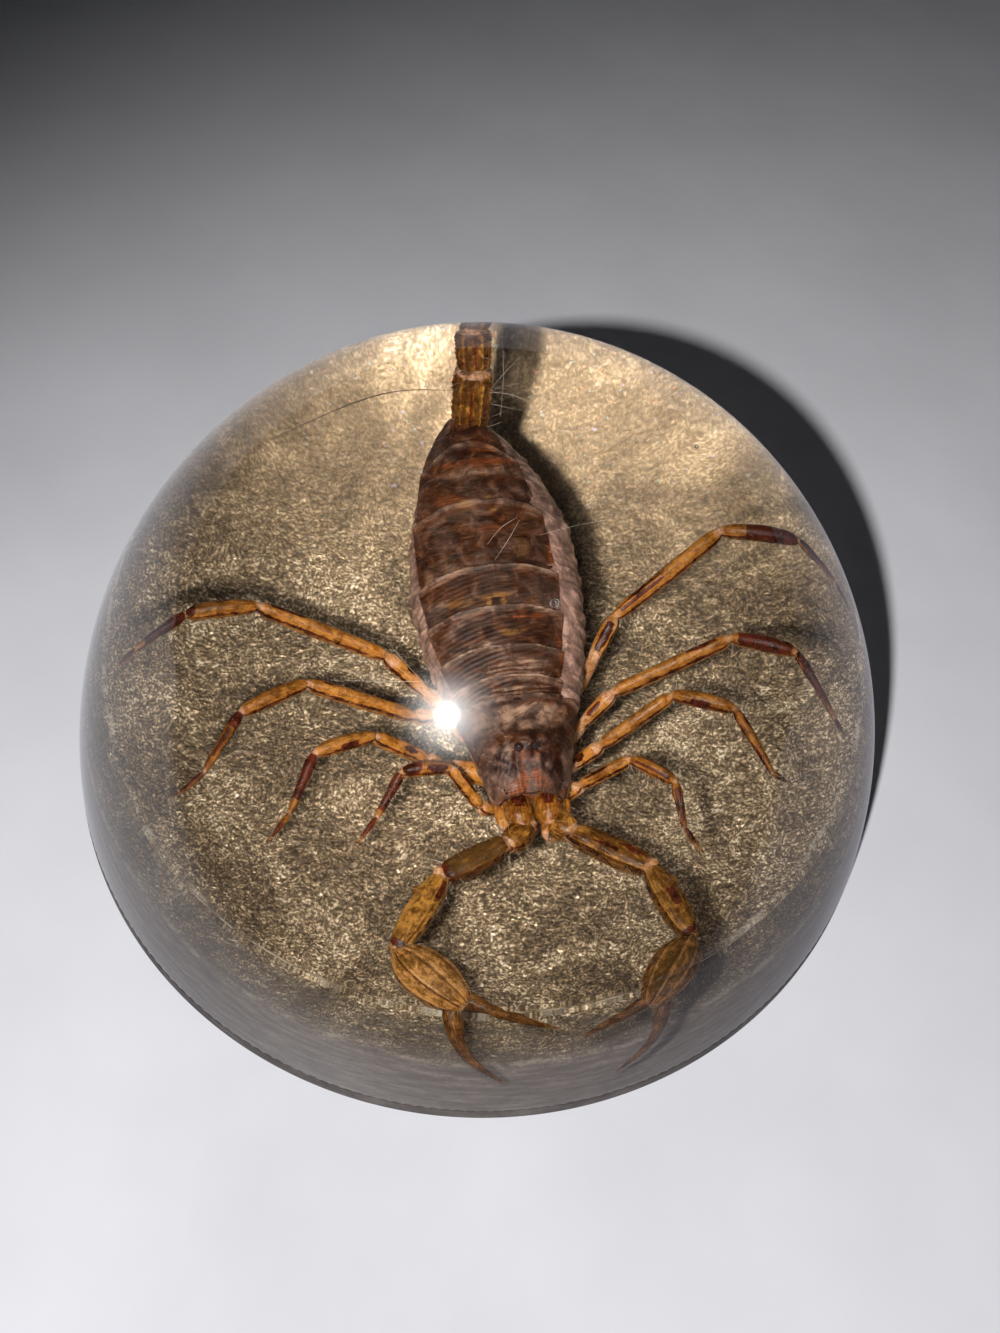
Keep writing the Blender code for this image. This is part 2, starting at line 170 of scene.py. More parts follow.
# Short calls for the nodes of a material or a lamp.
class NodeBoard:
    def __init__(self, owner):
        owner.use_nodes = True
        self.owner = owner
        self.nodes, self.links = owner.node_tree.nodes, owner.node_tree.links
        self.shader = self.nodes.get("Principled BSDF")

    def add(self, kind, **inputs):
        node = self.nodes.new(kind)
        for key, value in inputs.items():
            if hasattr(node, key):
                setattr(node, key, value)
            else:
                self.feed(node.inputs[key.replace("_", " ")], value)
        return node

    def feed(self, socket, value):
        if isinstance(value, bpy.types.NodeSocket):
            self.links.new(value, socket)
        else:
            socket.default_value = value

    def math(self, operation, a, b=0.0, c=0.0, clamp=False):
        node = self.nodes.new("ShaderNodeMath")
        node.operation = operation
        node.use_clamp = clamp
        for socket, value in zip(node.inputs, (a, b, c)):
            self.feed(socket, value)
        return node.outputs[0]

    def place(self):
        return self.add("ShaderNodeTexCoord").outputs["Object"]

    def attribute(self, name, output):
        return self.add("ShaderNodeAttribute", attribute_name=name).outputs[output]

    def times(self, a, b):
        return self.math("MULTIPLY", a, b)

    def plus(self, a, b, clamp=False):
        return self.math("ADD", a, b, clamp=clamp)

    def noise(self, where, scale, detail=3.0, roughness=0.55, distortion=0.0):
        node = self.add("ShaderNodeTexNoise", Vector=where, Scale=scale, Detail=detail,
                        Roughness=roughness, Distortion=distortion)
        return node.outputs["Fac"]

    def between(self, value, low, high, toLow=0.0, toHigh=1.0):
        node = self.add("ShaderNodeMapRange", interpolation_type="SMOOTHSTEP", Value=value)
        node.inputs["From Min"].default_value = low
        node.inputs["From Max"].default_value = high
        node.inputs["To Min"].default_value = toLow
        node.inputs["To Max"].default_value = toHigh
        return node.outputs["Result"]

    def mix(self, share, a, b):
        node = self.nodes.new("ShaderNodeMix")
        node.data_type = "RGBA"
        self.feed(node.inputs[0], share)
        for socket, value in ((node.inputs[6], a), (node.inputs[7], b)):
            self.feed(socket, value if isinstance(value, bpy.types.NodeSocket) else (*value, 1.0))
        return node.outputs[2]

    def tones(self, field, low, high, first, second):
        return self.mix(self.between(field, low, high), first, second)

    # Lays the paint on by the mark times the field, which counts toLow at low and toHigh at high.
    def paint(self, colour, mark, field, low, high, toLow, toHigh, paint):
        share = self.math("MULTIPLY", mark, self.between(field, low, high, toLow, toHigh), clamp=True)
        return self.mix(share, colour, paint)

    def shifted(self, value, field, size):               # value + (field - 0.5) * size
        return self.math("MULTIPLY_ADD", self.math("SUBTRACT", field, 0.5), size, value)

    def ramp(self, value, stops):
        node = self.nodes.new("ShaderNodeValToRGB")
        self.feed(node.inputs[0], value)
        ramp = node.color_ramp
        while len(ramp.elements) < len(stops):
            ramp.elements.new(0.5)
        for element, (place, colour) in zip(ramp.elements, stops):
            element.position = place
            element.color = (*colour, 1.0)
        return node.outputs[0]

    def stretched(self, where, scale):
        node = self.add("ShaderNodeVectorMath", operation="MULTIPLY")
        self.feed(node.inputs[0], where)
        node.inputs[1].default_value = scale
        return node.outputs[0]

    def bump(self, height, strength, distance):
        node = self.add("ShaderNodeBump", Height=height, Strength=strength, Distance=distance)
        self.feed(self.shader.inputs["Normal"], node.outputs[0])

    def marks(self):
        source = self.add("ShaderNodeAttribute", attribute_name="marks")
        split = self.add("ShaderNodeSeparateColor", Color=source.outputs["Color"])
        return (*split.outputs, source.outputs["Alpha"])

    def radius(self, where):                 # distance from the upright axis in millimetres
        flat = self.stretched(where, (1 / mm, 1 / mm, 0.0))
        return self.add("ShaderNodeVectorMath", operation="LENGTH", Vector=flat).outputs["Value"]

    def set(self, **values):
        for key, value in values.items():
            self.feed(self.shader.inputs[key.replace("_", " ")], value)


# Colours by noise, each from its stop on, for the plain pieces.
def cloudedMaterial(name, scale, stops, detail=3.0, **looks):
    board = NodeBoard(bpy.data.materials.new(name))
    board.set(Base_Color=board.ramp(board.noise(board.place(), scale, detail), stops), **looks)
    return board.owner


domeShape = {
    "radius": 45.0, "semiHeight": 52.1, "centreZ": -10.56,   # the spheroid the dome is cut from
    "foot": 1.8,                                             # its flat foot sits in the backing
    "sides": 240, "rows": 84,
    "pourLineZ": 17.0, "pourLineDepth": 0.015, "pourLineWidth": 0.22,
    # trapped bubbles: (x, y, z, radius)
    "bubbles": [(4.53, -1.74, 19.3, 0.42), (-11.5, 6.5, 15.0, 0.16), (9.0, -19.0, 17.0, 0.12),
                (13.5, 16.0, 13.0, 0.18), (-16.0, -22.0, 12.0, 0.13), (2.0, -28.0, 14.0, 0.1),
                (-6.0, 24.0, 14.0, 0.14), (21.0, -4.0, 11.0, 0.12)],
}
crownZ = domeShape["centreZ"] + domeShape["semiHeight"]


def wallRadius(z):
    return domeShape["radius"] * np.sqrt(1.0 - ((z - domeShape["centreZ"]) / domeShape["semiHeight"]) ** 2)


def clearMaterial():
    board = NodeBoard(bpy.data.materials.new("clearResin"))
    where = board.place()
    smears = board.noise(where, 60.0, 4.0)
    board.set(Base_Color=(1.0, 1.0, 1.0, 1.0), Transmission_Weight=1.0, IOR=1.54)
    board.set(Roughness=board.between(smears, 0.45, 0.8, 0.0, 0.02))
    absorb = board.add("ShaderNodeVolumeAbsorption", Color=(0.93, 0.9, 0.84, 1.0), Density=1.6)
    board.links.new(absorb.outputs[0], board.nodes["Material Output"].inputs["Volume"])
    return board.owner


# Rings of a ball of radius 1, at tilts from cap to a half turn less cap.
def unitBall(rows, columns, cap):
    tilt = np.linspace(cap, np.pi - cap, rows)[:, None]
    angle = np.linspace(0, 2 * np.pi, columns, endpoint=False)
    return np.stack([np.sin(tilt) * np.cos(angle), np.sin(tilt) * np.sin(angle),
                     np.repeat(np.cos(tilt), columns, 1)], -1)


# The dome's skin turned about z: at rise e above the spheroid's middle the radius is a cos(e) and
# the height c + b sin(e). The line where two pours met is a fine groove.
def clearDome():
    lowest, grooveRise = (math.asin((domeShape[key] - domeShape["centreZ"]) / domeShape["semiHeight"])
                          for key in ("foot", "pourLineZ"))
    rises = np.linspace(lowest, math.pi / 2, domeShape["rows"])[:-1]
    nearGroove = grooveRise + np.linspace(-2.5, 2.5, 11) * domeShape["pourLineWidth"] / domeShape["radius"]
    rises = np.unique(np.concatenate([rises, nearGroove]))
    z = domeShape["centreZ"] + domeShape["semiHeight"] * np.sin(rises)
    r = domeShape["radius"] * np.cos(rises)
    r = r - domeShape["pourLineDepth"] * hump(z, domeShape["pourLineZ"], domeShape["pourLineWidth"])
    angle = np.linspace(0, 2 * np.pi, domeShape["sides"], endpoint=False)
    grid = np.stack([r[:, None] * np.cos(angle), r[:, None] * np.sin(angle),
                     np.repeat(z[:, None], len(angle), 1)], -1)
    skins = [closedSkin(grid)]
    skins[0][0][-1, 2] = crownZ
    for x, y, z, radius in domeShape["bubbles"]:      # hollows: their faces point into the hollow
        p, quads, tips, marks, flow = closedSkin(unitBall(12, 20, 0.15))
        skins.append((p / np.linalg.norm(p, axis=1, keepdims=True) * radius + [x, y, z],
                      quads[:, ::-1], tips[:, ::-1], marks, flow))
    return makePiece("clear_dome", skins, clearMaterial(), "clear_resin", "dome_lower", "dome_upper")


backingShape = {
    "top": 2.0, "side": 1.3, "footEdge": 0.5,          # levels of its outline
    "cell": 0.275,             # from one flake's corner to the next
    "stretch": 1.15, "grain": math.radians(24),        # the flakes are drawn out this way
    "innerRing": 29.6, "flakesEnd": 35.2,             # outside these the layer is duller, then smooth
    "shuffle": 0.36, "tilt": 0.026, "tallest": 0.1,
    "seed": 41,
}


# The flakes' own light and dark: each facet's chance, fine grain, clumps and wide clouds. The far
# side is painted smoother and brighter, with a brighter band near its rim: painted light.
def flakeTones(board, where, along, far, cloud):
    swirl = board.add("ShaderNodeTexNoise", Vector=where, Scale=170.0, Detail=2.0).outputs["Color"]
    swirled = board.add("ShaderNodeVectorMath", operation="MULTIPLY_ADD")   # drawn out here and there
    board.feed(swirled.inputs[0], swirl)
    swirled.inputs[1].default_value = (0.0028, 0.0028, 0.0)
    board.feed(swirled.inputs[2], where)
    grain = board.noise(swirled.outputs[0], 4600.0, 3.0, 0.6)
    clumps = board.noise(swirled.outputs[0], 1400.0, 2.0)
    speck = board.math("MULTIPLY_ADD", board.attribute("flake", "Fac"), 0.3,
                       board.between(grain, 0.38, 0.66, 0.0, 0.55))
    speck = board.plus(speck, board.between(clumps, 0.35, 0.65, -0.06, 0.18))
    # painted light: the far side brighter and less varied
    speck = board.math("MULTIPLY_ADD", speck, board.math("MULTIPLY_ADD", far, -0.65, 1.0),
                       board.times(far, 0.29))
    speck = board.plus(speck, board.between(cloud, 0.3, 0.7, -0.17, 0.19))
    # painted light: a brighter band toward the far rim
    speck = board.plus(speck, board.between(along, 0.019, 0.024, 0.0, 0.13))
    return board.ramp(speck, [(0.0, (0.050, 0.034, 0.019)), (0.25, (0.115, 0.078, 0.043)),
                              (0.5, (0.225, 0.155, 0.087)), (0.72, (0.46, 0.33, 0.19)),
                              (0.88, (0.88, 0.72, 0.48)), (1.0, (0.95, 0.86, 0.70))])


# Toward the rim the flakes are worn, then end in smooth resin with streaks that follow the rim, and
# a pale line stands at each border.
def rimTones(board, where, split, radius, wander, outer, colour):
    turn = board.math("ARCTAN2", split.outputs["X"], board.times(split.outputs["Y"], -1.0))
    polar = board.add("ShaderNodeCombineXYZ", X=radius, Y=board.times(turn, 6.0)).outputs[0]
    drawn = board.noise(polar, 1.5, 7.0, 0.72)
    haze = board.noise(where, 240.0, 6.0, 0.7, 2.0)
    inner, end = backingShape["innerRing"], backingShape["flakesEnd"]
    worn = board.times(board.between(radius, inner - 0.2, inner + 1.2),
                       board.between(drawn, 0.38, 0.62, 0.85, 0.3))
    colour = board.mix(worn, colour, (0.125, 0.102, 0.080))
    smooth = board.ramp(drawn, [(0.3, (0.10, 0.084, 0.078)), (0.5, (0.20, 0.170, 0.158)),
                                (0.7, (0.36, 0.31, 0.29))])
    colour = board.mix(board.times(outer, 0.85), colour, smooth)
    for ring, share in ((end, 0.35), (inner, 0.75)):
        line = board.times(board.between(wander, ring - 0.7, ring - 0.3),
                           board.between(wander, ring - 0.1, ring + 0.3, 1.0, 0.0))
        line = board.times(line, board.between(haze, 0.42, 0.6))
        colour = board.mix(board.times(line, share), colour, (0.75, 0.66, 0.52))
    return colour


# Places are in metres here, with Y toward the far side; the radius is in millimetres.
def flakeMaterial():
    board = NodeBoard(bpy.data.materials.new("goldFlakes"))
    chance = board.attribute("flake", "Fac")
    where = board.place()
    split = board.add("ShaderNodeSeparateXYZ", Vector=where)
    along = split.outputs["Y"]
    far = board.between(along, 0.003, 0.022)
    cloud = board.noise(where, 105.0, 5.0, 0.6, 1.2)
    colour = flakeTones(board, where, along, far, cloud)
    for scale, low, paintedGlintHue in ((2900.0, 0.70, (0.80, 0.36, 0.20)), (2600.0, 0.71, (0.34, 0.52, 0.46)),
                            (2400.0, 0.72, (0.48, 0.42, 0.68))):         # painted coloured glints on a few flakes, stronger toward the far side
        spots = board.between(board.noise(where, scale, 1.0), low, low + 0.05, 0.0, 0.7)
        colour = board.mix(board.times(spots, board.between(along, 0.012, 0.034, 0.2, 1.0)), colour, paintedGlintHue)
    radius = board.radius(where)
    wander = board.plus(radius, board.times(board.math("SUBTRACT", cloud, 0.5), 2.4))
    outer = board.between(wander, backingShape["flakesEnd"] - 2.6, backingShape["flakesEnd"] + 1.2)
    colour = rimTones(board, where, split, radius, wander, outer, colour)
    flaky = board.times(board.math("SUBTRACT", 1.0, board.times(outer, 0.8)),
                        board.math("SUBTRACT", 1.0, board.times(far, 0.7)))
    board.set(Base_Color=colour, Roughness=board.between(chance, 0.1, 0.95, 0.62, 0.45),
              Metallic=board.times(flaky, board.between(chance, 0.3, 0.95, 0.15, 0.7)))
    return board.owner


# The top is a net of triangles over points in rows a step apart, each second row moved by half a
# step, all shuffled and raised by chance, so each facet is a flake with its own tilt.
def glitterBacking():
    chance = np.random.default_rng(backingShape["seed"])
    step, stretch = backingShape["cell"], backingShape["stretch"]
    radius = wallRadius(backingShape["top"])
    reach = radius * stretch
    x, y = np.meshgrid(np.arange(-reach, reach, step), np.arange(-reach, reach, step * 0.866))
    x = x + (np.arange(len(x)) % 2)[:, None] * step / 2
    inner = np.stack([x.ravel(), y.ravel()], 1)
    inner = inner + chance.uniform(-1, 1, inner.shape) * step * backingShape["shuffle"]
    along = np.array([math.cos(backingShape["grain"]), math.sin(backingShape["grain"])])
    draw = np.outer(along, along) * (stretch - 1 / stretch) + np.eye(2) / stretch   # keeps the area
    inner = inner @ draw
    inner = inner[np.hypot(inner[:, 0], inner[:, 1]) < radius - 0.6 * step]
    angle = np.linspace(0, 2 * np.pi, int(2 * np.pi * radius / step), endpoint=False)
    circle = np.stack([np.cos(angle), np.sin(angle)], 1)
    undrawn = np.concatenate([inner, circle * radius]) @ np.linalg.inv(draw)
    net = geometry.delaunay_2d_cdt([Vector(p) for p in undrawn.tolist()], [], [], 0, 1e-9)
    flat = np.array([tuple(p) for p in net[0]]) @ draw
    top = np.array(net[2])
    height = chance.normal(0, backingShape["tilt"], len(flat))
    flakesEnd = backingShape["flakesEnd"]
    height *= 1 - 0.75 * rise(np.hypot(*flat.T), flakesEnd - 1, flakesEnd + 1)
    height *= 1 - 0.6 * rise(flat[:, 1], 4, 20)
    height = height.clip(-backingShape["tallest"], backingShape["tallest"])
    height[len(inner):] = 0.0
    points = [np.column_stack([flat, backingShape["top"] + height])]
    above = len(inner) + np.arange(len(circle))
    start, faces = len(flat), [top]
    side, edge = backingShape["side"], backingShape["footEdge"]
    for wide, level in [(wallRadius(side), side), (wallRadius(edge), edge), (wallRadius(0.0) - edge, 0.0)]:
        points.append(np.column_stack([circle * wide, np.full(len(circle), level)]))
        below = start + np.arange(len(circle))
        faces.append(np.stack([above, below, np.roll(below, -1)], 1))
        faces.append(np.stack([above, np.roll(below, -1), np.roll(above, -1)], 1))
        above = below
        start += len(circle)
    points = np.concatenate([*points, [[0.0, 0.0, 0.0]]])
    faces.append(np.stack([np.full(len(circle), start), np.roll(above, -1), above], 1))
    faces = np.concatenate(faces)
    mesh = bpy.data.meshes.new("glitter_layer")
    mesh.from_pydata(points * mm, [], faces.tolist())
    flake = chance.random(len(faces))
    flake[len(top):] = 0.3
    mesh.attributes.new("flake", "FLOAT", "FACE").data.foreach_set("value", flake)
    return placePiece("glitter_layer", mesh, flakeMaterial(), "gold_flake", "glitter_backing")


trunkShape = {
    "root": (-3.1, 15.5), "turn": math.radians(13.75),   # where s is 0, and the body's turn
    "s": [-0.6, 0.0, 1.5, 4.3, 9.0, 13.9, 17.6, 20.9, 23.2, 25.1, 29.2, 31.6, 32.4],
    "halfWidth": [0.5, 1.1, 2.5, 4.2, 5.75, 6.3, 6.1, 5.55, 5.0, 4.45, 3.5, 2.85, 2.3],
    "top": [14.0, 14.3, 15.0, 15.8, 16.5, 16.8, 16.8, 16.6, 16.4, 16.3, 16.0, 15.0, 14.4],
    "belly": [12.6, 12.2, 11.1, 10.0, 9.0, 8.6, 8.8, 9.1, 9.4, 9.7, 10.2, 11.2, 11.8],
    "fullness": 0.85,
    "plateEdges": [25.0, 23.5, 21.1, 17.9, 14.5, 8.9, 4.5, 0.35],   # back plates one to seven
    "bows": [0.5, 0.6, 0.7, 0.8, 1.0, 1.9, 0.9],         # how far each rear edge bends to the tail
    "plateLean": -0.45,        # the plates lie a little towards the animal's right
    "plateThickness": 0.13, "overlap": 0.25,             # a plate starts and ends this far past its edges
    "spans": (0.98, 0.80), "lastSpans": (1.1, 1.05),     # how far round to each side the plates reach
    "shieldFront": 32.1, "shieldSpans": (1.3, 1.3), "shieldBow": 0.4,
    "eyeHillS": 28.5,
}

# Painted on the back: (s, t, half length, half width, strength), t in mm from the middle line.
trunkMarks = {
    "dark": [(2.3, -0.58, 1.0, 0.15, 2.2), (2.3, 0.3, 1.7, 2.2, 0.75), (7.0, 2.9, 1.2, 1.7, 0.85),
             (12.5, 2.9, 1.7, 1.2, 0.8), (16.6, -0.2, 0.4, 0.26, 1.0), (19.3, 2.6, 1.1, 1.5, 0.7),
             (18.9, -2.0, 0.5, 1.6, 0.6), (11.0, -0.6, 1.1, 2.2, 0.5), (15.4, 2.8, 0.8, 1.5, 0.4),
             (28.4, 0.1, 1.0, 1.2, 1.7), (29.6, -1.5, 1.4, 0.8, 0.8), (29.6, 1.7, 1.4, 0.8, 0.8),
             (27.0, 2.2, 1.2, 1.0, 0.5), (30.0, -2.0, 1.1, 0.7, 0.45), (30.2, 2.0, 1.0, 0.6, 0.6),
             (22.6, 2.4, 0.5, 1.2, 0.6)],
    "pale": [(26.2, 0.0, 1.1, 3.2, 0.55), (20.0, -1.5, 0.35, 0.5, 0.8), (5.1, 0.2, 0.3, 3.0, 0.45),
             (29.1, -1.35, 0.5, 0.3, 0.7), (30.0, 1.5, 0.45, 0.25, 0.55), (25.7, 0.9, 0.45, 1.3, 0.7),
             (26.2, -0.9, 0.3, 0.8, 0.4), (21.75, 0.4, 0.12, 2.2, 0.8), (22.2, -0.4, 0.1, 2.6, 0.7),
             (22.55, 0.0, 0.09, 2.2, 0.6), (23.75, 0.6, 0.11, 2.2, 0.9), (24.15, 0.2, 0.1, 2.3, 0.8),
             (24.55, -0.1, 0.09, 2.0, 0.7), (17.0, 3.4, 0.6, 0.9, 0.35), (13.2, -3.6, 1.0, 1.2, 0.3)],
    "orange": [(31.75, 0.0, 0.12, 2.6, 1.0), (2.7, 1.0, 0.9, 0.8, 0.45), (4.25, 0.4, 0.3, 3.0, 0.6),
               (9.5, 1.1, 0.24, 0.24, 1.0), (13.3, 0.6, 0.17, 0.22, 1.2), (12.7, 4.5, 1.9, 0.13, 1.1),
               (21.2, 3.95, 1.9, 0.15, 1.0), (17.95, 1.6, 0.11, 1.5, 0.9),
               (30.4, -0.35, 1.5, 0.24, 1.0), (30.4, 0.55, 1.5, 0.24, 1.0), (29.6, 0.1, 0.5, 0.5, 0.7),
               (31.3, 0.1, 0.5, 1.6, 0.6), (7.4, -2.2, 0.5, 1.0, 0.4), (10.2, 0.4, 0.3, 1.4, 0.4)],
    "ochre": [(7.9, -1.2, 0.5, 0.5, 1.0), (7.5, 0.7, 0.3, 0.35, 0.9), (8.7, 0.9, 0.2, 0.2, 1.0),
              (16.0, -0.1, 0.17, 1.15, 1.1), (16.5, -0.72, 0.5, 0.17, 1.0), (16.5, 0.4, 0.5, 0.17, 1.0),
              (19.2, 0.6, 0.3, 1.0, 0.9), (12.2, 2.4, 0.9, 0.6, 0.5), (16.2, -2.8, 0.4, 1.0, 0.5)],
}


# Each mark is an ellipse, full out to 0.75 of its size and gone at 1.3 of it.
def paintMarks(s, t, wobble):
    total = []
    for spots in trunkMarks.values():
        field = np.zeros_like(s)
        for along, aside, length, width, strength in spots:
            away = np.hypot((s + wobble - along) / length, (t + wobble - aside) / width)
            field += strength * (1 - rise(away, 0.75, 1.3))
        total.append(field)
    return total


# A point at s along the body and at an angle from straight up, on a section that is a fuller
# ellipse: out by the half width times sin, up or down by the reach times cos, both to a power.
def trunkPoint(s, angle, lift=0.0, lean=0.0):
    half = throughKnots(s, trunkShape["s"], trunkShape["halfWidth"])
    top = throughKnots(s, trunkShape["s"], trunkShape["top"])
    belly = throughKnots(s, trunkShape["s"], trunkShape["belly"])
    middle = belly + 0.45 * (top - belly)
    c, d = np.cos(angle), np.sin(angle)
    reach = np.where(c > 0, top - middle, middle - belly)
    t = half * np.sign(d) * np.abs(d) ** trunkShape["fullness"]
    z = middle + reach * np.sign(c) * np.abs(c) ** trunkShape["fullness"]
    out = unit(np.stack([d / half, c / reach], -1))
    return trunkPlace(s, t + out[..., 0] * lift + lean, z + out[..., 1] * lift)


def trunkPlace(s, t, z):
    turn = trunkShape["turn"]
    x = trunkShape["root"][0] + math.sin(turn) * s + math.cos(turn) * t
    y = trunkShape["root"][1] - math.cos(turn) * s + math.sin(turn) * t
    return np.stack(np.broadcast_arrays(x, y, z), -1)


def trunkSide(s, angle):
    half = throughKnots(s, trunkShape["s"], trunkShape["halfWidth"])
    return half * np.sign(np.sin(angle)) * np.abs(np.sin(angle)) ** trunkShape["fullness"]


# A sum of sines that runs askew over s and the angle, for edges that aren't quite regular.
def askew(s, angle, size):
    return size * (np.sin(s * 2.3 + angle * 5.1) + 0.6 * np.sin(s * 5.9 - angle * 9.7 + 1.3)
                   + 0.4 * np.sin(s * 13.1 + angle * 17.0))


# The trunk's own section, drawn in under the plates, plus humps for the folds of both flanks and
# sines for their wrinkles. The animal's left side, at a quarter turn, is fuller.
def softBodySkin():
    s = np.linspace(-0.5, 31.55, 300)
    angle = np.linspace(0, 2 * np.pi, 150, endpoint=False)
    along, turn = np.meshgrid(s, angle, indexing="ij")
    flank = sum(hump(turnBetween(turn, side * math.pi / 2), 0.1, 0.55) for side in (1, -1))
    wave = along + askew(along, turn, 0.05)
    folds = sum(hump(wave, edge + shift, 0.1) for edge in trunkShape["plateEdges"][1:-1]
                for shift in (-1.2, 0.15))
    wrinkles = 0.04 * np.sin(along * 5.1 + 2.2 * np.sin(turn * 3)) + 0.03 * np.sin(along * 9.7 + turn * 5)
    fuller = 0.42 * hump(along, 8.5, 5.0) * hump(turn, math.pi / 2, 0.5)
    lift = -0.16 + flank * (0.2 * folds + wrinkles) + fuller
    grid = trunkPoint(along, turn, lift)
    # pale along the flanks, and paler on the folds: painted highlight on their crests
    marks = np.stack([0.2 * hump(turnBetween(turn, 0), 0, 1.0) + 0.7 * (1 - rise(along, 5.0, 12.0)),
                      (0.22 * rise(along, 3, 9) + 1.3 * folds) * flank,
                      rise(along, 30.9, 31.6), rise(along, 30.9, 31.6) * 0.8], -1)
    flow = np.stack([along, turn * 4.0, np.full_like(along, 0.4)], -1)
    return closedSkin(grid, marks, flow)


# A plate runs from its front edge to a little past its rear edge and rises towards the rear, so it
# stands over the next one. Its edges bow back by a share of cos. Rows go across, and each ring
# goes back along the outside and forward again along the inside.
def plateSkin(front, rear, span, bow, frontBow, number, relief, hang):
    half = 44
    across = np.linspace(-span[0], span[1], 150)
    run = np.linspace(0, 1, half)
    ring = np.concatenate([run, run[::-1]])
    inside = np.concatenate([np.zeros(half), np.ones(half)])
    turn, back = np.meshgrid(across, ring, indexing="ij")
    inner = np.broadcast_to(inside, turn.shape)
    share = np.where(turn < 0, turn / span[0], turn / span[1])
    c = np.cos(share * math.pi / 2)
    length = front - rear + trunkShape["overlap"]
    s = front - back * length - bow * c * back - frontBow * c * (1 - back)
    s += askew(back * 0, turn, 0.035) * back
    taper = rise(np.abs(share), 0.97, 1.0)
    edgeRoll = 0.09 * hump(back, 0.985, 0.02)
    lift = 0.05 + 0.24 * back**1.5 + edgeRoll - inner * trunkShape["plateThickness"] * (1 - 0.7 * taper)
    lift = lift - hang * taper + relief(s, turn)
    lean = trunkShape["plateLean"] * (1.0 if number else 0.4)
    grid = trunkPoint(s, turn, lift, lean)
    reach = (1 - back) * length                                     # mm in front of the rear edge
    redLine = hump(reach, 0.62, 0.13) * (0.55 + 0.45 * np.sin(turn * 9 + number * 2.1) ** 2)
    greyBand = rise(reach, 0.05, 0.2) * (1 - rise(reach, 0.4, 0.6))
    rim = 1 - rise(reach, 0.06, 0.16)
    sideRim = rise(np.abs(share), 0.94, 0.98)
    dark, pale, orange, ochre = paintMarks(s, trunkSide(s, turn), askew(s, turn, 0.06))
    marks = np.stack([dark + 0.8 * redLine, pale + rim + 0.3 * greyBand,
                      orange + 0.5 * sideRim + 0.25 * redLine, ochre], -1)
    flow = np.stack([s, turn * 5.0, np.full_like(s, (number * 0.137) % 1.0)], -1)
    return closedSkin(grid, marks, flow)


# One keel on the middle line, or two on plate seven, plus sines for low dents.
def plateRelief(number):
    def shape(s, turn):
        if number < 7:
            keel = 0.07 * hump(turn, 0, 0.06)
        else:
            keel = 0.12 * (hump(turn, 0.35, 0.05) + hump(turn, -0.35, 0.05))
        dents = 0.035 * np.sin(s * 3.1 + turn * 7) * np.sin(turn * 11 + number)
        dents += 0.02 * np.sin(s * 17 + turn * 23)
        return keel + dents
    return shape


# The head shield: a hump for the middle eyes, two ridges forward from it, a furrow behind it and
# two more that run out to the sides.
def shieldRelief(s, turn):
    hill = trunkShape["eyeHillS"]
    eyes = 0.62 * hump(s, hill, 0.95) * hump(turn, 0, 0.17)
    ridges = 0.2 * rise(s, hill + 0.4, hill + 1.2) * (hump(turn, 0.19, 0.06) + hump(turn, -0.19, 0.06))
    furrow = -0.26 * (1 - rise(s, hill - 1.4, hill - 0.6)) * hump(turn, 0, 0.07)
    sides = -0.2 * hump(np.abs(turn) - 0.35 - (hill - s) * 0.11, 0, 0.07) * (1 - rise(s, hill - 0.8, hill))
    grains = 0.035 * np.sin(s * 13 + turn * 9) * np.sin(turn * 31 - s * 4)
    grains += 0.02 * np.sin(s * 29) * np.sin(turn * 57)
    return eyes + ridges + furrow + sides + grains


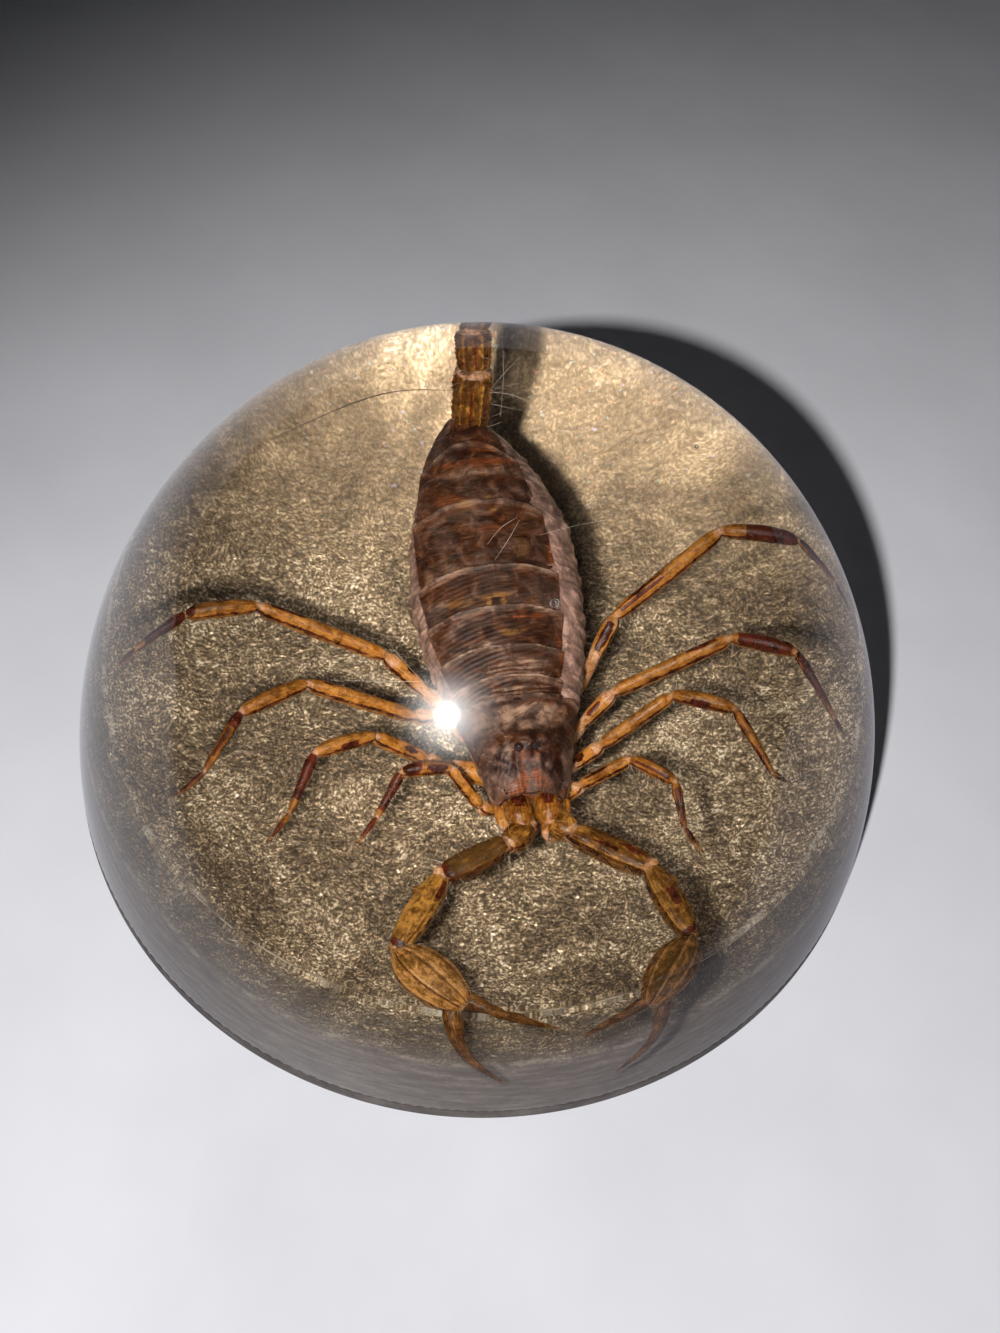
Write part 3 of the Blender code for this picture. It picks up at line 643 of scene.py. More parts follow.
def trunkMaterial(name, pale):
    board = NodeBoard(bpy.data.materials.new(name))
    dark, light, orange, ochre = board.marks()
    flow = board.attribute("flow", "Vector")
    where = board.place()
    clouds = board.noise(where, 620.0, 7.0, 0.68, 1.0)
    wide = board.noise(where, 190.0, 3.0, 0.55, 1.4)
    streaks = board.noise(board.stretched(flow, (1.3, 0.45, 7.0)), 1.6, 6.0, 0.68, 0.9)
    fine = board.noise(board.stretched(flow, (5.0, 0.35, 3.0)), 2.2, 4.0, 0.62, 0.4)
    body = board.ramp(clouds, [(0.30, (0.009, 0.004, 0.002)), (0.42, (0.021, 0.007, 0.0025)),
                               (0.50, (0.042, 0.013, 0.0040)), (0.58, (0.074, 0.025, 0.008)),
                               (0.70, (0.120, 0.050, 0.022))])
    grey = board.ramp(clouds, [(0.32, (0.030, 0.019, 0.014)), (0.5, (0.068, 0.042, 0.031)),
                               (0.66, (0.15, 0.098, 0.074))])
    grey = board.mix(pale, grey, board.stretched(grey, (6.4, 6.0, 6.2)))
    # grey in streaks and clouds: partly the shell's own grey, partly a painted sheen
    veil = board.plus(board.between(streaks, 0.48, 0.66, 0.0, 0.6),
                      board.between(wide, 0.4, 0.6, -0.3, 0.25))
    colour = board.mix(board.plus(veil, pale, clamp=True), body, grey)
    colour = board.mix(board.between(fine, 0.60, 0.70, 0.0, 0.5), colour, (0.17, 0.09, 0.052))
    colour = board.paint(colour, ochre, clouds, 0.36, 0.5, 0.1, 0.85,
                         board.tones(fine, 0.4, 0.6, (0.10, 0.045, 0.012), (0.26, 0.12, 0.034)))
    colour = board.paint(colour, dark, clouds, 0.4, 0.62, 1.0, 0.35, (0.014, 0.0035, 0.0015))
    colour = board.paint(colour, light, streaks, 0.36, 0.56, 0.15, 0.9,
                         board.tones(clouds, 0.4, 0.6, (0.10, 0.058, 0.040), (0.34, 0.21, 0.14)))
    colour = board.paint(colour, orange, clouds, 0.38, 0.54, 0.1, 0.9,
                         board.tones(fine, 0.4, 0.62, (0.09, 0.018, 0.004), (0.22, 0.058, 0.013)))
    board.set(Base_Color=colour, Subsurface_Weight=0.12, Subsurface_Scale=0.0006, Specular_IOR_Level=0.14)
    board.shader.inputs["Subsurface Radius"].default_value = (1.0, 0.45, 0.2)
    board.set(Roughness=board.between(fine, 0.3, 0.7, 0.25, 0.5))
    board.bump(board.plus(clouds, fine), 0.4, 0.00012)
    return board.owner


def trunkPieces():
    plates = trunkMaterial("brownPlates", 0.05)
    soft = trunkMaterial("softFlanks", 0.75)
    shellPiece("soft_body", [softBodySkin()], soft)
    edges = trunkShape["plateEdges"]
    bows = [trunkShape["shieldBow"]] + trunkShape["bows"]
    for number in range(1, 8):
        front, rear = edges[number - 1] + trunkShape["overlap"], edges[number]
        span = trunkShape["spans" if number < 7 else "lastSpans"]
        skin = plateSkin(front, rear, span, bows[number], bows[number - 1], number,
                         plateRelief(number), 0.08)
        shellPiece(f"back_plate_{number}", [skin], plates)
    shield = plateSkin(trunkShape["shieldFront"], edges[0], trunkShape["shieldSpans"], bows[0], 0.15, 0,
                       shieldRelief, 0.1)
    shellPiece("head_shield", [shield], trunkMaterial("greyShield", 0.2))
    print("trunk made")


# Ridges along a limb: each (angle in degrees, height, width in radians, beads per segment) adds
# height * exp(-(turn / width) squared), broken into beads by a sine along the limb.
def ridgeField(angle, along, ridges):
    total = np.zeros((len(along), len(angle)))
    for degrees, height, width, beads in ridges:
        crest = hump(turnBetween(angle, math.radians(degrees)), 0, width)[None]
        beaded = 1.0 + (0.45 * np.sin(2 * np.pi * beads * along)[:, None] if beads else 0.0)
        total += height * crest * beaded
    return total


hairRoots = []      # (places, directions, lengths, widths), gathered while the limbs are made


# Hairs stand on chance points of a grid, out from the ring's middle and leaning to the tip.
def plantHairs(grid, count, shortest, longest, seed, lean=0.6, first=2, width=0.016):
    chance = np.random.default_rng(seed)
    rows = chance.integers(first, len(grid) - 2, count)
    columns = chance.integers(0, grid.shape[1], count)
    places = grid[rows, columns]
    out = unit(places - grid[rows].mean(1))
    forward = unit(grid[rows + 1].mean(1) - grid[rows - 1].mean(1))
    direction = unit(out + forward * lean + chance.normal(0, 0.28, (count, 3)))
    lengths = shortest + (longest - shortest) * chance.random(count) ** 2.2
    hairRoots.append((places - out * 0.03, direction, lengths, np.full(count, width)))


# Dark patches (from, to, angle in degrees, half angle), widest at their middle, with soft edges.
def patchField(along, turn, patches):
    dark = np.zeros_like(along)
    for since, until, degrees, half in patches:
        edge = 0.05 * (until - since)
        strip = rise(along, since, since + edge) * (1 - rise(along, until - edge, until))
        swell = 0.55 + 0.45 * np.sin(np.pi * ((along - since) / (until - since)).clip(0, 1))
        away = turnBetween(turn, math.radians(degrees))
        dark += strip * (1 - rise(away / (math.radians(half) * swell), 0.85, 1.1))
    return dark


# One segment of a limb, a tube from start to end whose half width and half height follow knots
# (share of the length, half width, half height), with its ridges and the marks for its material:
# dark, with painted shade along both sides; pale, for the joint skin with painted glints there and
# painted highlight on the upper crests; the painted shade along the top middle; and how deep the
# shell's colour is, with painted shade in the grooves and painted light on the crests.
def limbSkin(start, end, knots, size=1.0, across=None, power=1.0, ridges=(), patches=(), middleShade=0.0,
             arch=0.0, columns=20, rows=34, chance=0.5, paleEnds=(0.05, 0.94), grooveShade=0.0, middle=(),
             depth=0.4, sides=0.0, ridgeTopHighlight=0.0):
    share, wide, high = (np.array(values) for values in zip(*knots))
    t = 0.5 - 0.5 * np.cos(np.pi * np.linspace(0, 1, rows))
    t = share[0] + (share[-1] - share[0]) * t
    start, end = np.asarray(start, float), np.asarray(end, float)
    path = smoothPath([start, *middle, end], t) if middle else start + (end - start) * t[:, None]
    path = path + np.array([0, 0, arch]) * (4 * t * (1 - t))[:, None]
    angle = np.linspace(0, 2 * np.pi, columns, endpoint=False)
    relief = ridgeField(angle, t, ridges) * np.sin(np.pi * t.clip(0, 1))[:, None] ** 0.4
    grid = ringGrid(path, throughKnots(t, share, wide) * size, throughKnots(t, share, high) * size,
                    columns, across, power, relief)
    along, turn = np.meshgrid(t, angle, indexing="ij")
    hollow = np.zeros_like(along)
    dark = patchField(along, turn, patches)
    # painted shade: a dark line along each side, where the shell is seen edge-on
    dark += sides * sum(hump(turnBetween(turn, edge), 0, 0.36) for edge in (0.24, np.pi - 0.24))
    # pale at both ends: the pale joint skin, with painted glints there
    pale = (1 - rise(along, paleEnds[0] * 0.3, paleEnds[0])) + rise(along, paleEnds[1], paleEnds[1] + 0.04)
    for degrees, _, width, beads in ridges:
        crest = hump(turnBetween(turn, math.radians(degrees)), 0, width * 0.8)
        signed = (angle - math.radians(degrees) + np.pi) % (2 * np.pi) - np.pi
        # painted shade in the groove beside each ridge, and painted light on its crest
        hollow += grooveShade * (hump(signed, -width * 1.7, width * 0.8) - 0.9 * crest)
        # painted highlight: the upper crests paler
        if -20 < degrees < 200:
            pale += ridgeTopHighlight * crest * (0.6 + 0.4 * np.sin(2 * np.pi * (beads or 7) * along))
    # painted shade along the top middle: the shade under the limb seen through its shell
    centre = middleShade * (1 - rise(turnBetween(turn, np.pi / 2), 0.55, 1.15)) * rise(along, 0.06, 0.2)
    centre = centre * (1 - rise(along, 0.82, 0.95))
    length = np.linalg.norm(end - start)
    flow = np.stack([along * length, turn * 2.0, np.full_like(along, chance)], -1)
    return grid, closedSkin(grid, np.stack([dark, pale, centre, depth + hollow], -1), flow)


# A ball with a half width for each axis: centre + radii * (the ball of radius 1).
def ballSkin(centre, radii, marks=(0, 0, 0, 0.4), rows=10, columns=14):
    ball = unitBall(rows, columns, 0.12) * np.asarray(radii, float)
    marks = np.broadcast_to(np.asarray(marks, float), (*ball.shape[:2], 4))
    return closedSkin(ball + np.asarray(centre, float), marks, ball * 3.0)


# Where two segments meet: a soft ball, and a dark knuckle on each side of it.
def jointSkins(place, before, after, radius, darkSide):
    place = np.asarray(place, float)
    forward = unit(np.asarray(after, float) - np.asarray(before, float))
    side = unit(np.cross(forward, [0, 0, 1.0]))
    skins = [ballSkin(place, (radius, radius, radius), (0.0, 0.75, 0.0, 0.2))]
    for sign in (-1, 1):
        spot = place + side * sign * radius * 0.85 + np.array([0, 0, radius * 0.35])
        dark = 0.95 if sign == darkSide else 0.25
        skins.append(ballSkin(spot, (radius * 0.36,) * 3, (dark, 0.1, 0, 0.5), rows=7, columns=9))
    return skins


# The limbs' shells: colours thin, middling and thick, the painted shade along the middle, and the specks.
shellColours = {
    "amberShell": ((0.42, 0.17, 0.028), (0.20, 0.066, 0.006), (0.055, 0.012, 0.002),
                   (0.070, 0.036, 0.008), 0.5),
    "ochreShell": ((0.50, 0.24, 0.065), (0.19, 0.074, 0.012), (0.052, 0.017, 0.003),
                   (0.095, 0.055, 0.014), 0.4),
    "duskyShell": ((0.40, 0.185, 0.030), (0.125, 0.045, 0.005), (0.036, 0.010, 0.0016),
                   (0.060, 0.034, 0.008), 0.5),
}


def amberMaterial(name, light, middle, deep, middleShade, specks):
    board = NodeBoard(bpy.data.materials.new(name))
    dark, pale, centre, depth = board.marks()
    flow = board.attribute("flow", "Vector")
    where = board.place()
    clouds = board.noise(where, 900.0, 6.0, 0.66, 0.5)
    streaks = board.noise(board.stretched(flow, (0.9, 2.0, 9.0)), 1.5, 6.0, 0.7, 0.5)
    grains = board.noise(where, 4200.0, 2.0, 0.5)
    # the depth carries painted shade in the grooves and painted light on the crests
    shade = board.shifted(board.shifted(depth, streaks, 2.5), clouds, -2.3)
    colour = board.ramp(shade, [(0.0, light), (0.5, middle), (1.0, deep)])
    # painted shade along the top middle
    colour = board.paint(colour, centre, clouds, 0.32, 0.6, 1.0, 0.45, middleShade)
    # pale: joint skin with painted glints, and painted highlight on the upper crests
    colour = board.paint(colour, pale, clouds, 0.38, 0.56, 0.15, 0.9,
                         board.tones(streaks, 0.42, 0.58, (0.36, 0.15, 0.05), (0.52, 0.33, 0.22)))
    # dark red on the dried patches, and painted shade in the lines along both sides
    stainAndEdgeShade = board.shifted(board.shifted(board.times(dark, 0.85), streaks, 1.0), clouds, -0.6)
    colour = board.mix(board.between(stainAndEdgeShade, 0.38, 0.43), colour,
                       board.tones(clouds, 0.4, 0.62, (0.024, 0.004, 0.0012), (0.095, 0.013, 0.003)))
    colour = board.mix(board.between(grains, 0.58, 0.63, 0.0, specks), colour, (0.075, 0.022, 0.005))
    board.set(Base_Color=colour, Subsurface_Weight=0.2, Subsurface_Scale=0.0003, Specular_IOR_Level=0.16)
    board.shader.inputs["Subsurface Radius"].default_value = (1.0, 0.4, 0.12)
    board.set(Roughness=board.between(clouds, 0.35, 0.65, 0.2, 0.42))
    board.bump(board.plus(streaks, grains), 0.4, 0.00008)
    return board.owner


legShape = {
    # joints from the body outwards, as the solid has them
    "joints": {
        "left_leg_1": [(6.8, -13.6, 11.0), (7.9, -13.2, 12.5), (11.4, -11.7, 14.5), (15.0, -13.3, 14.5),
                       (16.2, -16.4, 13.0), (17.6, -17.7, 12.0)],
        "left_leg_2": [(7.2, -10.7, 11.0), (9.1, -9.6, 12.5), (14.0, -6.1, 15.0), (19.0, -6.8, 15.0),
                       (22.9, -11.3, 13.5), (24.3, -11.5, 12.6)],
        "left_leg_3": [(7.5, -7.1, 11.0), (9.5, -5.0, 12.5), (18.0, -0.7, 15.0), (23.7, -1.2, 15.0),
                       (28.6, -5.9, 13.5), (30.0, -6.8, 12.8)],
        "left_leg_4": [(7.7, -1.6, 11.0), (9.0, 1.5, 12.5), (16.2, 8.3, 15.0), (23.2, 9.1, 14.5),
                       (27.8, 7.1, 13.1), (30.4, 5.2, 12.2)],
        "right_leg_1": [(1.6, -15.4, 11.0), (0.6, -15.6, 12.0), (-1.8, -13.7, 14.0), (-5.4, -14.8, 14.5),
                        (-6.9, -17.8, 12.5), (-8.0, -19.7, 12.0)],
        "right_leg_2": [(-2.5, -11.9, 11.0), (-3.7, -12.0, 12.0), (-7.7, -12.0, 14.5), (-12.0, -14.3, 15.0),
                        (-13.5, -18.7, 13.0), (-14.8, -20.8, 12.5)],
        "right_leg_3": [(-2.5, -7.5, 11.0), (-4.9, -8.8, 12.5), (-13.1, -8.4, 15.0), (-18.0, -11.6, 15.0),
                        (-20.7, -16.5, 13.5), (-22.8, -18.2, 12.5)],
        "right_leg_4": [(-4.2, -5.8, 11.0), (-7.4, -3.9, 12.5), (-17.4, -2.3, 15.0), (-23.3, -3.6, 15.0),
                        (-28.1, -6.6, 14.0), (-30.3, -8.0, 13.5)],
    },
    "size": [0.86, 0.94, 1.0, 1.04],                  # legs 1 to 4
    "rootS": [29.4, 28.2, 26.8, 25.2], "rootT": 1.1, "rootZ": 10.3,
    # knots of each segment: (share of its length, half width, half height)
    "segments": [
        [(-0.02, 0.8, 0.9), (0.4, 0.88, 0.95), (0.85, 0.66, 0.75), (1.02, 0.44, 0.5)],
        [(-0.05, 0.36, 0.44), (0.2, 0.5, 0.6), (0.6, 0.56, 0.68), (0.93, 0.5, 0.6), (1.03, 0.3, 0.4)],
        [(-0.02, 0.28, 0.4), (0.05, 0.44, 0.6), (0.3, 0.52, 0.72), (0.75, 0.54, 0.74), (0.95, 0.46, 0.6),
         (1.01, 0.28, 0.4)],
        [(-0.02, 0.26, 0.34), (0.06, 0.44, 0.54), (0.28, 0.58, 0.7), (0.7, 0.6, 0.72), (0.93, 0.46, 0.54),
         (1.01, 0.26, 0.3)],
        [(-0.02, 0.24, 0.28), (0.07, 0.38, 0.44), (0.5, 0.38, 0.44), (0.93, 0.27, 0.32), (1.01, 0.2, 0.22)],
        [(-0.02, 0.17, 0.2), (0.2, 0.25, 0.28), (0.8, 0.17, 0.18), (1.0, 0.1, 0.1)],
    ],
    # dark dried flesh: (segment, from, to, angle round it, half angle); 0 lies to the animal's side
    "patches": {
        "left_leg_1": [(2, .12, .62, 100, 16), (3, .12, .9, 60, 17), (3, .2, .85, 118, 15),
                       (4, .1, .9, 90, 42), (5, 0, .6, 90, 60)],
        "left_leg_2": [(1, .1, .5, 90, 30), (2, .05, .95, 150, 14), (3, .3, .62, 30, 34),
                       (4, .05, .35, 140, 40), (4, .5, .95, 30, 25), (5, .3, 1.0, 90, 70)],
        "left_leg_3": [(1, .2, .7, 90, 18), (2, .62, .9, 120, 34), (3, .1, .95, 75, 75),
                       (4, .0, .8, 95, 60), (5, 0, .9, 90, 80)],
        "left_leg_4": [(1, .2, .9, 80, 36), (2, .04, .46, 70, 12), (2, .04, .5, 104, 14),
                       (2, .4, .62, 150, 26), (3, .28, 1.0, 80, 95), (4, 0, 1.0, 120, 80),
                       (5, 0, .8, 90, 90)],
        "right_leg_1": [(2, .3, .95, 60, 22), (3, .1, .55, 120, 26), (3, .6, .98, 90, 70),
                        (4, 0, .85, 90, 80), (5, 0, .9, 90, 60)],
        "right_leg_2": [(2, .25, .5, 110, 24), (3, .3, .6, 140, 20), (4, 0, .78, 90, 85),
                        (5, .4, 1.0, 90, 60)],
        "right_leg_3": [(2, .78, .86, 70, 20), (3, .2, .45, 30, 20), (3, .6, .9, 20, 26),
                        (4, 0, .25, 90, 80), (4, .25, .75, 90, 26), (5, 0, 1.0, 90, 34)],
        "right_leg_4": [(1, .4, .6, 60, 24), (2, .62, .94, 62, 22), (3, .35, .6, 50, 22),
                        (3, .85, 1.0, 90, 60), (4, 0, .82, 90, 85), (5, .1, .7, 90, 34)],
    },
    # how much painted shade lies along the top middle of each segment
    "middleShade": [0.0, 0.1, 0.25, 0.5, 0.1, 0.0],
    "depth": [0.2, 0.1, 0.28, 0.42, 0.5, 0.6],
    "ridges": [(90, 0.05, 0.16, 0), (8, 0.05, 0.14, 9), (172, 0.05, 0.14, 9)],
    "hairs": [(6, 0.7), (10, 0.9), (26, 1.3), (30, 1.5), (46, 1.5), (40, 0.8)],     # how many, the longest
    "jointSize": 1.12,                                # of a joint's ball to the segment's first knot
    "clawKnots": [(0, 0.075, 0.075), (0.5, 0.055, 0.055), (1.0, 0.012, 0.012)],
}


def legPieces(amber):
    for order, (name, joints) in enumerate(legShape["joints"].items()):
        number = int(name[-1]) - 1
        side = 1.0 if name.startswith("left") else -1.0
        root = trunkPlace(legShape["rootS"][number], side * legShape["rootT"], legShape["rootZ"])
        stops = [root] + [np.array(joint) for joint in joints]
        size = legShape["size"][number]
        skins = []
        for k, knots in enumerate(legShape["segments"]):
            patches = [patch[1:] for patch in legShape["patches"][name] if patch[0] == k]
            ridges = legShape["ridges"] if 1 < k < 5 else ()
            grid, skin = limbSkin(stops[k], stops[k + 1], knots, size, patches=patches, ridges=ridges,
                                  middleShade=legShape["middleShade"][k], arch=0.25 if k == 3 else 0.0, power=0.92,
                                  chance=(order * 0.31 + k * 0.17) % 1.0, depth=legShape["depth"][k],
                                  sides=0.7 if 0 < k < 5 else 0.3, columns=28, rows=44,
                                  paleEnds=(0.35, 0.75) if k < 2 else (0.05, 0.94))
            skins.append(skin)
            count, longest = legShape["hairs"][k]
            plantHairs(grid, count, 0.3, longest, order * 10 + k)
            if k > 0:
                radius = knots[0][1] * size * legShape["jointSize"]
                darkSide = 1 if (order + k) % 2 else -1
                skins += jointSkins(stops[k], stops[k - 1], stops[k + 1], radius, darkSide)
        tip, before = stops[-1], stops[-2]
        forward = unit(tip - before)
        across = unit(np.cross(forward, [0, 0, 1.0]))
        for sign in (-1, 1):                                  # two claws at the foot
            bend = tip + forward * 0.3 + across * sign * 0.16 + np.array([0, 0, 0.02])
            end = tip + forward * 0.5 + across * sign * 0.2 + np.array([0, 0, -0.22])
            skins.append(limbSkin(tip - forward * 0.05, end, legShape["clawKnots"], middle=[bend],
                                  columns=8, rows=10, patches=[(0.3, 1.0, 90, 180)])[1])
        shellPiece(name, skins, amber)
    print("legs made")


palpShape = {
    "joints": {
        "left_palp": [(6.3, -16.4, 12.3), (7.7, -17.7, 13.0), (13.9, -20.2, 13.0), (18.4, -26.1, 12.0),
                      (16.5, -33.0, 10.8)],
        "right_palp": [(4.3, -17.4, 12.3), (2.9, -19.3, 13.0), (-1.6, -22.6, 13.0), (-4.6, -29.3, 12.0),
                       (1.1, -33.6, 10.8)],
    },
    "rootS": 29.8, "rootT": 1.6, "rootZ": 11.8,
    "fixedFingers": {
        "left_palp": [(16.5, -31.9, 10.9), (14.6, -33.1, 10.0), (12.8, -33.9, 8.8), (10.8, -34.7, 7.5)],
        "right_palp": [(0.4, -32.5, 10.9), (3.2, -33.6, 10.4), (6.2, -34.0, 9.4), (8.9, -33.9, 8.0)],
    },
    "movingFingers": {
        "left_palp": [(17.2, -31.4, 10.6), (17.8, -34.4, 8.5), (17.0, -36.1, 6.2), (14.9, -38.0, 4.0)],
        "right_palp": [(-0.2, -32.9, 10.7), (0.9, -36.1, 8.0), (2.4, -37.5, 6.0), (5.3, -39.1, 4.0)],
    },
    "segments": [
        [(0.0, 1.15, 1.15), (0.5, 1.15, 1.1), (1.0, 0.85, 0.85)],
        [(-0.1, 0.7, 0.8), (0.35, 1.05, 1.05), (0.75, 0.95, 1.0), (1.05, 0.55, 0.6)],
        [(-0.02, 0.55, 0.6), (0.06, 0.8, 0.9), (0.25, 0.9, 0.95), (0.8, 0.93, 0.95), (0.95, 0.78, 0.8),
         (1.01, 0.5, 0.55)],
        [(-0.02, 0.5, 0.5), (0.05, 0.72, 0.75), (0.2, 1.0, 0.95), (0.4, 1.12, 1.02), (0.8, 0.95, 0.92),
         (0.94, 0.72, 0.75), (1.01, 0.45, 0.5)],
        [(-0.01, 0.5, 0.5), (0.06, 1.1, 0.95), (0.2, 1.85, 1.45), (0.4, 2.25, 1.72), (0.6, 2.22, 1.7),
         (0.8, 1.8, 1.4), (0.95, 1.25, 1.0), (1.02, 0.7, 0.6)],
    ],
    "limbRidges": [(38, 0.1, 0.1, 16), (142, 0.1, 0.1, 16), (-30, 0.1, 0.12, 14), (210, 0.1, 0.12, 14)],
    "handRidges": [(98, 0.11, 0.07, 26), (56, 0.09, 0.06, 26), (136, 0.1, 0.07, 26), (14, 0.06, 0.08, 26),
                   (172, 0.07, 0.08, 26), (-60, 0.04, 0.1, 0), (240, 0.04, 0.1, 0)],
    "patches": {
        "left_palp": [(2, .25, .6, 80, 10), (2, .55, .95, 110, 12), (3, .35, .6, 100, 18),
                      (3, .9, 1.0, 90, 60)],
        "right_palp": [(2, .9, 1.0, 90, 50), (3, .05, .3, 130, 20), (3, .9, 1.0, 90, 60)],
    },
    # painted shade along the top middle, per segment
    "middleShade": {"left_palp": [0, 0, 0.25, 0.3, 0.55], "right_palp": [0, 0, 0.9, 0.3, 0.3]},
    "depth": {"left_palp": [0.45, 0.45, 0.6, 0.45, 0.66], "right_palp": [0.5, 0.6, 0.9, 0.28, 0.34]},
    "hairs": [(20, 0.9), (30, 1.2), (46, 1.8), (50, 1.8), (120, 1.4)],
    "armLooks": {"power": 0.78, "columns": 36, "rows": 48, "grooveShade": 0.5, "paleEnds": (0.05, 0.94),
                 "sides": 0.55, "ridgeTopHighlight": 0.0},
    # on the hand, painted highlight on the upper crests
    "handLooks": {"power": 1.0, "columns": 72, "rows": 80, "grooveShade": 0.75, "paleEnds": (0.02, 0.99),
                  "sides": 0.15, "ridgeTopHighlight": 0.35},
    "fingerKnots": {
        "fixedFingers": [(0, 0.95, 0.85), (0.3, 0.62, 0.58), (0.65, 0.4, 0.4), (1, 0.1, 0.1)],
        "movingFingers": [(0, 0.5, 0.5), (0.08, 0.72, 0.66), (0.35, 0.6, 0.55), (0.7, 0.4, 0.38),
                          (1, 0.1, 0.1)],
    },
    "fingerPatches": {"fixedFingers": [], "movingFingers": [(0.0, 0.1, 90, 120)]},
}


def fingerSkins(name, side, seed):
    teeth = [(0 if side > 0 else 180, 0.1, 0.2, 22), (90, 0.08, 0.12, 0), (55, 0.06, 0.1, 0)]
    skins = []
    for kind, knots in palpShape["fingerKnots"].items():
        path = [np.array(point) for point in palpShape[kind][name]]
        grid, skin = limbSkin(path[0], path[-1], knots, middle=path[1:-1], ridges=teeth, columns=24, rows=60,
                              chance=0.3, grooveShade=0.16, patches=palpShape["fingerPatches"][kind],
                              depth=0.75, sides=0.2)
        skins.append(skin)
        plantHairs(grid, 60, 0.3, 0.8, seed, lean=0.3)
    return skins


def palpPieces(arms, hands):
    for order, (name, joints) in enumerate(palpShape["joints"].items()):
        side = 1.0 if name.startswith("left") else -1.0
        root = trunkPlace(palpShape["rootS"], side * palpShape["rootT"], palpShape["rootZ"])
        stops = [root] + [np.array(joint) for joint in joints]
        armSkins, handSkins = [], []
        for k, knots in enumerate(palpShape["segments"]):
            hand = k == 4
            patches = [patch[1:] for patch in palpShape["patches"][name] if patch[0] == k]
            ridges = palpShape["handRidges"] if hand else palpShape["limbRidges"] if k > 1 else ()
            grid, skin = limbSkin(stops[k], stops[k + 1], knots, patches=patches, ridges=ridges,
                                  middleShade=palpShape["middleShade"][name][k], chance=order * 0.4 + k * 0.13,
                                  depth=palpShape["depth"][name][k],
                                  **palpShape["handLooks" if hand else "armLooks"])
            (handSkins if hand else armSkins).append(skin)
            count, longest = palpShape["hairs"][k]
            plantHairs(grid, count, 0.4, longest, 200 + order * 10 + k)
            if k > 0:
                armSkins += jointSkins(stops[k], stops[k - 1], stops[k + 1], knots[0][1] * 1.1,
                                       -1 if order else 1)
        inward = unit(np.cross(stops[4] - stops[3], [0, 0, 1.0])) * (-side)
        bulge = stops[3] + (stops[4] - stops[3]) * 0.27 + inward * 0.85
        armSkins.append(ballSkin(bulge, (0.62, 0.62, 0.5), (0.1, 0.2, 0.0, 0.4)))
        ring = stops[3] + inward * 0.35 + [0, 0, 0.45]
        armSkins.append(ballSkin(ring, (0.42, 0.42, 0.36), (0.0, 1.0, 0.0, 0.0)))
        handSkins += fingerSkins(name, side, 260 + order)
        shellPiece(name + "_arm", armSkins, arms)
        shellPiece(name + "_hand", handSkins, hands)
    print("claws made")


jawShape = {
    "s": [30.6, 31.6, 32.8, 33.9], "t": 1.12, "z": 12.9,
    "knots": [(0, 0.8, 0.9), (0.3, 1.0, 1.1), (0.75, 0.98, 1.05), (1.0, 0.55, 0.6)],
    "fingerKnots": [(0, 0.4, 0.4), (0.5, 0.28, 0.28), (1.0, 0.06, 0.06)],
    "lobeKnots": [(0, 0.36, 0.45), (0.6, 0.34, 0.4), (1, 0.12, 0.14)],
}
eyeShape = {"radius": 0.36, "aside": 0.6, "z": 16.72, "smallRadius": 0.11}


def jawPieces(amber):
    skins = []
    for side in (-1, 1):
        t = side * jawShape["t"]
        path = [trunkPlace(s, t, jawShape["z"]) for s in jawShape["s"]]
        grid, skin = limbSkin(path[0], path[-1], jawShape["knots"], middle=path[1:-1], columns=28,
                              patches=[(0.1, 0.6, 90, 30)], middleShade=0.2, chance=0.2 + side * 0.1, depth=0.55,
                              sides=0.3)
        skins.append(skin)
        plantHairs(grid, 50, 0.2, 0.7, 300 + side, lean=1.0)
        for inner, drop in ((0.55, 0.0), (-0.35, -0.35)):
            base = trunkPlace(33.6, t - side * inner * 0.6, 12.8 + drop * 0.5)
            bend = trunkPlace(34.4, t - side * inner * 0.9, 12.6 + drop)
            end = trunkPlace(34.8, t - side * (0.25 + inner * 0.2), 12.2 + drop)
            skins.append(limbSkin(base, end, jawShape["fingerKnots"], middle=[bend], columns=12, rows=16,
                                  paleEnds=(0.01, 0.35), chance=0.7)[1])
    for side in (-1, 1):                    # bristly lobes of the claw arms' roots, beside the jaws
        for number in range(4):
            base = trunkPlace(31.6 + 0.35 * number, side * (2.55 - 0.18 * number), 12.4)
            end = trunkPlace(33.4 + 0.28 * number, side * (2.35 - 0.3 * number), 12.0)
            grid, skin = limbSkin(base, end, jawShape["lobeKnots"], columns=12, rows=14, chance=0.1 * number,
                                  paleEnds=(0.01, 0.7))
            skins.append(skin)
            plantHairs(grid, 14, 0.2, 0.6, 320 + number * 2 + side, lean=1.2)
    shellPiece("jaws", skins, amber)
    print("jaws made")


def eyePieces():
    skins = []
    for side in (-1, 1):
        centre = trunkPlace(trunkShape["eyeHillS"] + 0.45, side * eyeShape["aside"] - 0.2, eyeShape["z"])
        skins.append(ballSkin(centre, (eyeShape["radius"],) * 3, rows=16, columns=24))
        for number in range(3):             # three small eyes at each front corner
            spot = trunkPlace(31.7 - 0.3 * number, side * (2.0 + 0.12 * number), 14.75 - 0.05 * number)
            skins.append(ballSkin(spot, (eyeShape["smallRadius"],) * 3, rows=8, columns=12))
    stops = [(0.35, (0.006, 0.004, 0.004)), (0.7, (0.03, 0.012, 0.008))]
    black = cloudedMaterial("blackEyes", 1800.0, stops, Roughness=0.12, Specular_IOR_Level=0.8)
    shellPiece("eyes", skins, black)
    print("eyes made")


